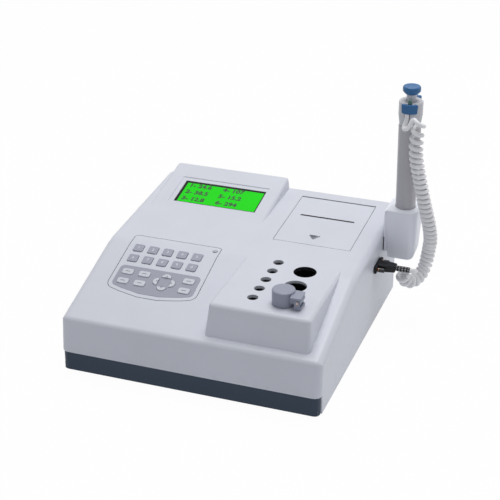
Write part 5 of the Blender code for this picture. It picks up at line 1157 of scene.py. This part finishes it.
# The pointer mark is a triangle of bars on the door's upper face
def doorFinish():
    finish = mouldedPlastic("printerDoor", **shell)
    count = printer["markCount"]
    inked = 0.0
    for number in range(count):
        half = printer["markWidth"] / 2 * (1 - number / count) + printer["markSpread"]
        y = corner.y + printer["markY"] - number * printer["markStep"]
        bar = finish.near(finish.y, y, printer["markBar"] / 2)
        inked = bar * finish.near(finish.x, corner.x + printer["markX"], half) + inked
    height = deckHeight(finish)
    finish.paint(inked * (height > -printer["skin"]), printer["markTone"])
    # Painted shade on the door's sides below its face, where the gap round it lies in shadow
    side = (height < -gaps["depth"]) * (height > -printer["edgeShadeDepth"])
    finish.paint(side, gaps["dark"])
    return finish.material


def paperFinish():
    finish = Finish("rollPaper", paper["roughness"], specular=paper["specular"])
    fibre = finish.noise(paper["fibre"], 4.0)
    finish.tint(fibre, *paper["tones"])
    finish.bump(fibre, paper["depth"])
    return finish.material


# A toothed strip along the slot's front edge, for tearing the paper off
def makeTearBar():
    deselectAll()
    bpy.ops.mesh.primitive_grid_add(x_subdivisions=printer["teeth"], y_subdivisions=1, size=1.0)
    bar = bpy.context.object
    bar.scale = (printer["barLength"], printer["barWidth"], 1.0)
    bpy.ops.object.transform_apply(location=True, rotation=True, scale=True)
    rear = [vertex for vertex in bar.data.vertices if vertex.co.y > 0.0]
    for number, vertex in enumerate(sorted(rear, key=lambda vertex: vertex.co.x)):
        vertex.co.y += printer["toothReach"] * (number % 2)
    bpy.ops.object.mode_set(mode="EDIT")
    bpy.ops.mesh.select_all(action="SELECT")
    bpy.ops.mesh.extrude_region_move(
        TRANSFORM_OT_translate={"value": (0.0, 0.0, printer["barHeight"])}
    )
    bpy.ops.mesh.select_all(action="SELECT")
    bpy.ops.mesh.normals_make_consistent(inside=False)
    bpy.ops.object.mode_set(mode="OBJECT")
    bendY, bendZ = form["bend"]
    z = bendZ + (printer["barY"] - bendY) * tan(deckTurn)
    place = Matrix.Translation(corner + Vector((printer["barX"], printer["barY"], z)))
    layOn(bar, place @ Matrix.Rotation(deckTurn, 4, "X"), printer["barLift"])
    finished(bar, "tearBar", blackPlastic, "printer_door_body")


def makePrinter():
    dressed("printer_door", doorFinish(), "small")
    makeTearBar()
    dressed("printer_frame", blackPlastic)
    dressed("paper_roll", paperFinish())
    dressed("roll_spindle", blackPlastic, "small")
    rubber = mouldedPlastic("platenRubber", **platen).material
    dressed("platen_roller", rubber, "small")


makePrinter()
print("printer dressed")

# Rear panel, mains inlet and ports
rear = {
    "panel": (0.47, 0.48, 0.50),
    "panelRoughness": 0.36,
    "supply": (0.60, 0.61, 0.62),
    "supplyRoughness": 0.34,
    "port": (0.70, 0.70, 0.69),
    "portRoughness": 0.24,
    "insulator": (0.02, 0.05, 0.16),
    "wideShare": 0.235,
    "tallShare": 0.27,
}


# A nickel flange and shell round a dark blue insulator
def portFinish():
    finish = brushedMetal("portNickel", rear["port"], rear["portRoughness"])
    low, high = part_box("serial_port")
    wide, tall = (high[0] - low[0]) * rear["wideShare"], (high[2] - low[2]) * rear["tallShare"]
    inside = finish.near(finish.x, (low[0] + high[0]) / 2, wide)
    inside = inside * finish.near(finish.z, (low[2] + high[2]) / 2, tall)
    finish.paintMetal(inside, rear["insulator"])
    return finish.material


def makeRear():
    steel = brushedMetal("brushedSteel", rear["panel"], rear["panelRoughness"]).material
    dressed("rear_panel", steel, "sheet", 1)
    dressed("serial_port", portFinish(), "fine")
    for node in ("power_inlet", "switch_frame", "power_rocker", "side_socket"):
        dressed(node, blackPlastic)
    supply = brushedMetal("supplyMetal", rear["supply"], rear["supplyRoughness"]).material
    dressed("power_supply", supply)


makeRear()
print("rear dressed")

# Pipette and its holder
pipette = {
    # The holder is the shell's plastic, painted lighter to stand in for light that falls short on
    # its front
    "holder": {"colour": (0.86, 0.88, 0.94), "roughness": 0.40},
    "handle": {"colour": (0.485, 0.475, 0.50), "roughness": 0.36, "grain": 1500.0},
    "sleeve": {"colour": (0.60, 0.605, 0.63), "roughness": 0.4, "grain": 1500.0},
    "knob": {"colour": (0.021, 0.125, 0.31), "roughness": 0.38, "grain": 1800.0},
    "clip": {"colour": (0.021, 0.125, 0.31), "roughness": 0.36, "grain": 1800.0},
    "lamp": {
        "colour": (0.012, 0.10, 0.085),
        "roughness": 0.15,
        "grain": 400.0,
        "depth": 0.000005,
        "specular": 0.6,
    },
    "neck": (0.62, 0.64, 0.68),
    "neckTop": 0.2570,
}


# The rod under the knob is pale
def plungerFinish():
    finish = mouldedPlastic("pipettePlunger", **pipette["knob"])
    finish.paint(finish.z < corner.z + pipette["neckTop"], pipette["neck"])
    return finish.material


# The holder's plastic is painted lighter than the shell's, and along its joint with the housing's
# wall a painted shadow line shows as a dark seam
def holderFinish():
    finish = mouldedPlastic("holderShell", **pipette["holder"])
    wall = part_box("pipette_holder")[0][0]
    seam = (finish.x < wall + gaps["seam"]) * (deckHeight(finish) < -gaps["seamTop"])
    finish.paint(seam, gaps["dark"])
    return finish.material


def makePipette():
    dressed("pipette_holder", holderFinish(), "soft")
    handle = mouldedPlastic("handleGrey", **pipette["handle"]).material
    dressed("pipette_handle", handle, "soft", 3)
    sleeve = mouldedPlastic("sleeveGrey", **pipette["sleeve"]).material
    dressed("pipette_sleeve", sleeve)
    dressed("pipette_plunger", plungerFinish(), "soft", 3)
    blue = mouldedPlastic("clipBlue", **pipette["clip"]).material
    dressed("cord_clip", blue, "soft", 3)
    dressed("tip_ejector", blue)
    lens = mouldedPlastic("signalLens", **pipette["lamp"]).material
    dressed("signal_lamp", lens, "small")


makePipette()
print("pipette dressed")

# Connector on the right side
plug = {
    "hood": {
        "colour": (0.006, 0.0065, 0.008),
        "roughness": 0.42,
        "grain": 1500.0,
        "depth": 0.00003,
        "specular": 0.3,
    },
    "head": {"colour": (0.02, 0.02, 0.021), "roughness": 0.4, "grain": 2000.0},
    "copper": (0.42, 0.22, 0.12),
    "wall": 0.2825,
    "gap": 0.0003,
    "flange": 0.0032,
    "bareLength": 0.0014,
}
braid = {
    "y": 0.208,
    "z": 0.0695,
    "roughness": 0.62,
    "specular": 0.35,
    "threads": ((0.006, 0.006, 0.007), (0.02, 0.02, 0.022)),
    "fibre": 3000.0,
    "glint": (0.66, 0.66, 0.67),
    "glintShare": 0.75,
    "leastWeave": 0.35,
    "leastFibre": 0.42,
    "strands": 4,
    "slant": 950.0,
    "depth": 0.0002,
    "strength": 0.8,
}


# Two sets of strands wind round the sleeve, one each way, with painted glints here and there
def braidFinish():
    finish = Finish("braidedSleeve", braid["roughness"], specular=braid["specular"])
    middle = corner + Vector((0.0, braid["y"], braid["z"]))
    turn = (finish.z - middle.z).angleFrom(finish.y - middle.y) * braid["strands"]
    lean = finish.x * braid["slant"]
    weave = (turn + lean).sine() * (turn - lean).sine()
    fibre = finish.noise(braid["fibre"], 2.0)
    glint = (weave > braid["leastWeave"]) * (fibre > braid["leastFibre"])
    dark = finish.mix(fibre, *braid["threads"])
    finish.tint(glint * braid["glintShare"], dark, braid["glint"])
    finish.bump(weave, braid["depth"], braid["strength"])
    return finish.material


# The knurled heads are black, and their copper shows beside the flange
def screwFinish():
    finish = mouldedPlastic("screwHead", **plug["head"])
    flangeEnd = plug["wall"] + plug["gap"] + plug["flange"]
    bare = finish.x < corner.x + flangeEnd + plug["bareLength"]
    finish.paint(bare, plug["copper"])
    finish.give("Metallic", bare)
    return finish.material


def makeConnector():
    hoodPlastic = mouldedPlastic("hoodPlastic", **plug["hood"]).material
    hood = dressed("plug_hood", hoodPlastic)
    knurled = screwFinish()
    screws = [
        dressed(node, knurled, "knurl", 1)
        for node in ("jackscrew_front", "jackscrew_back")
    ]
    sleeve = dressed("cord_sleeve", braidFinish(), "small")
    return [hood, *screws, sleeve]


connector = makeConnector()
print("connector dressed")
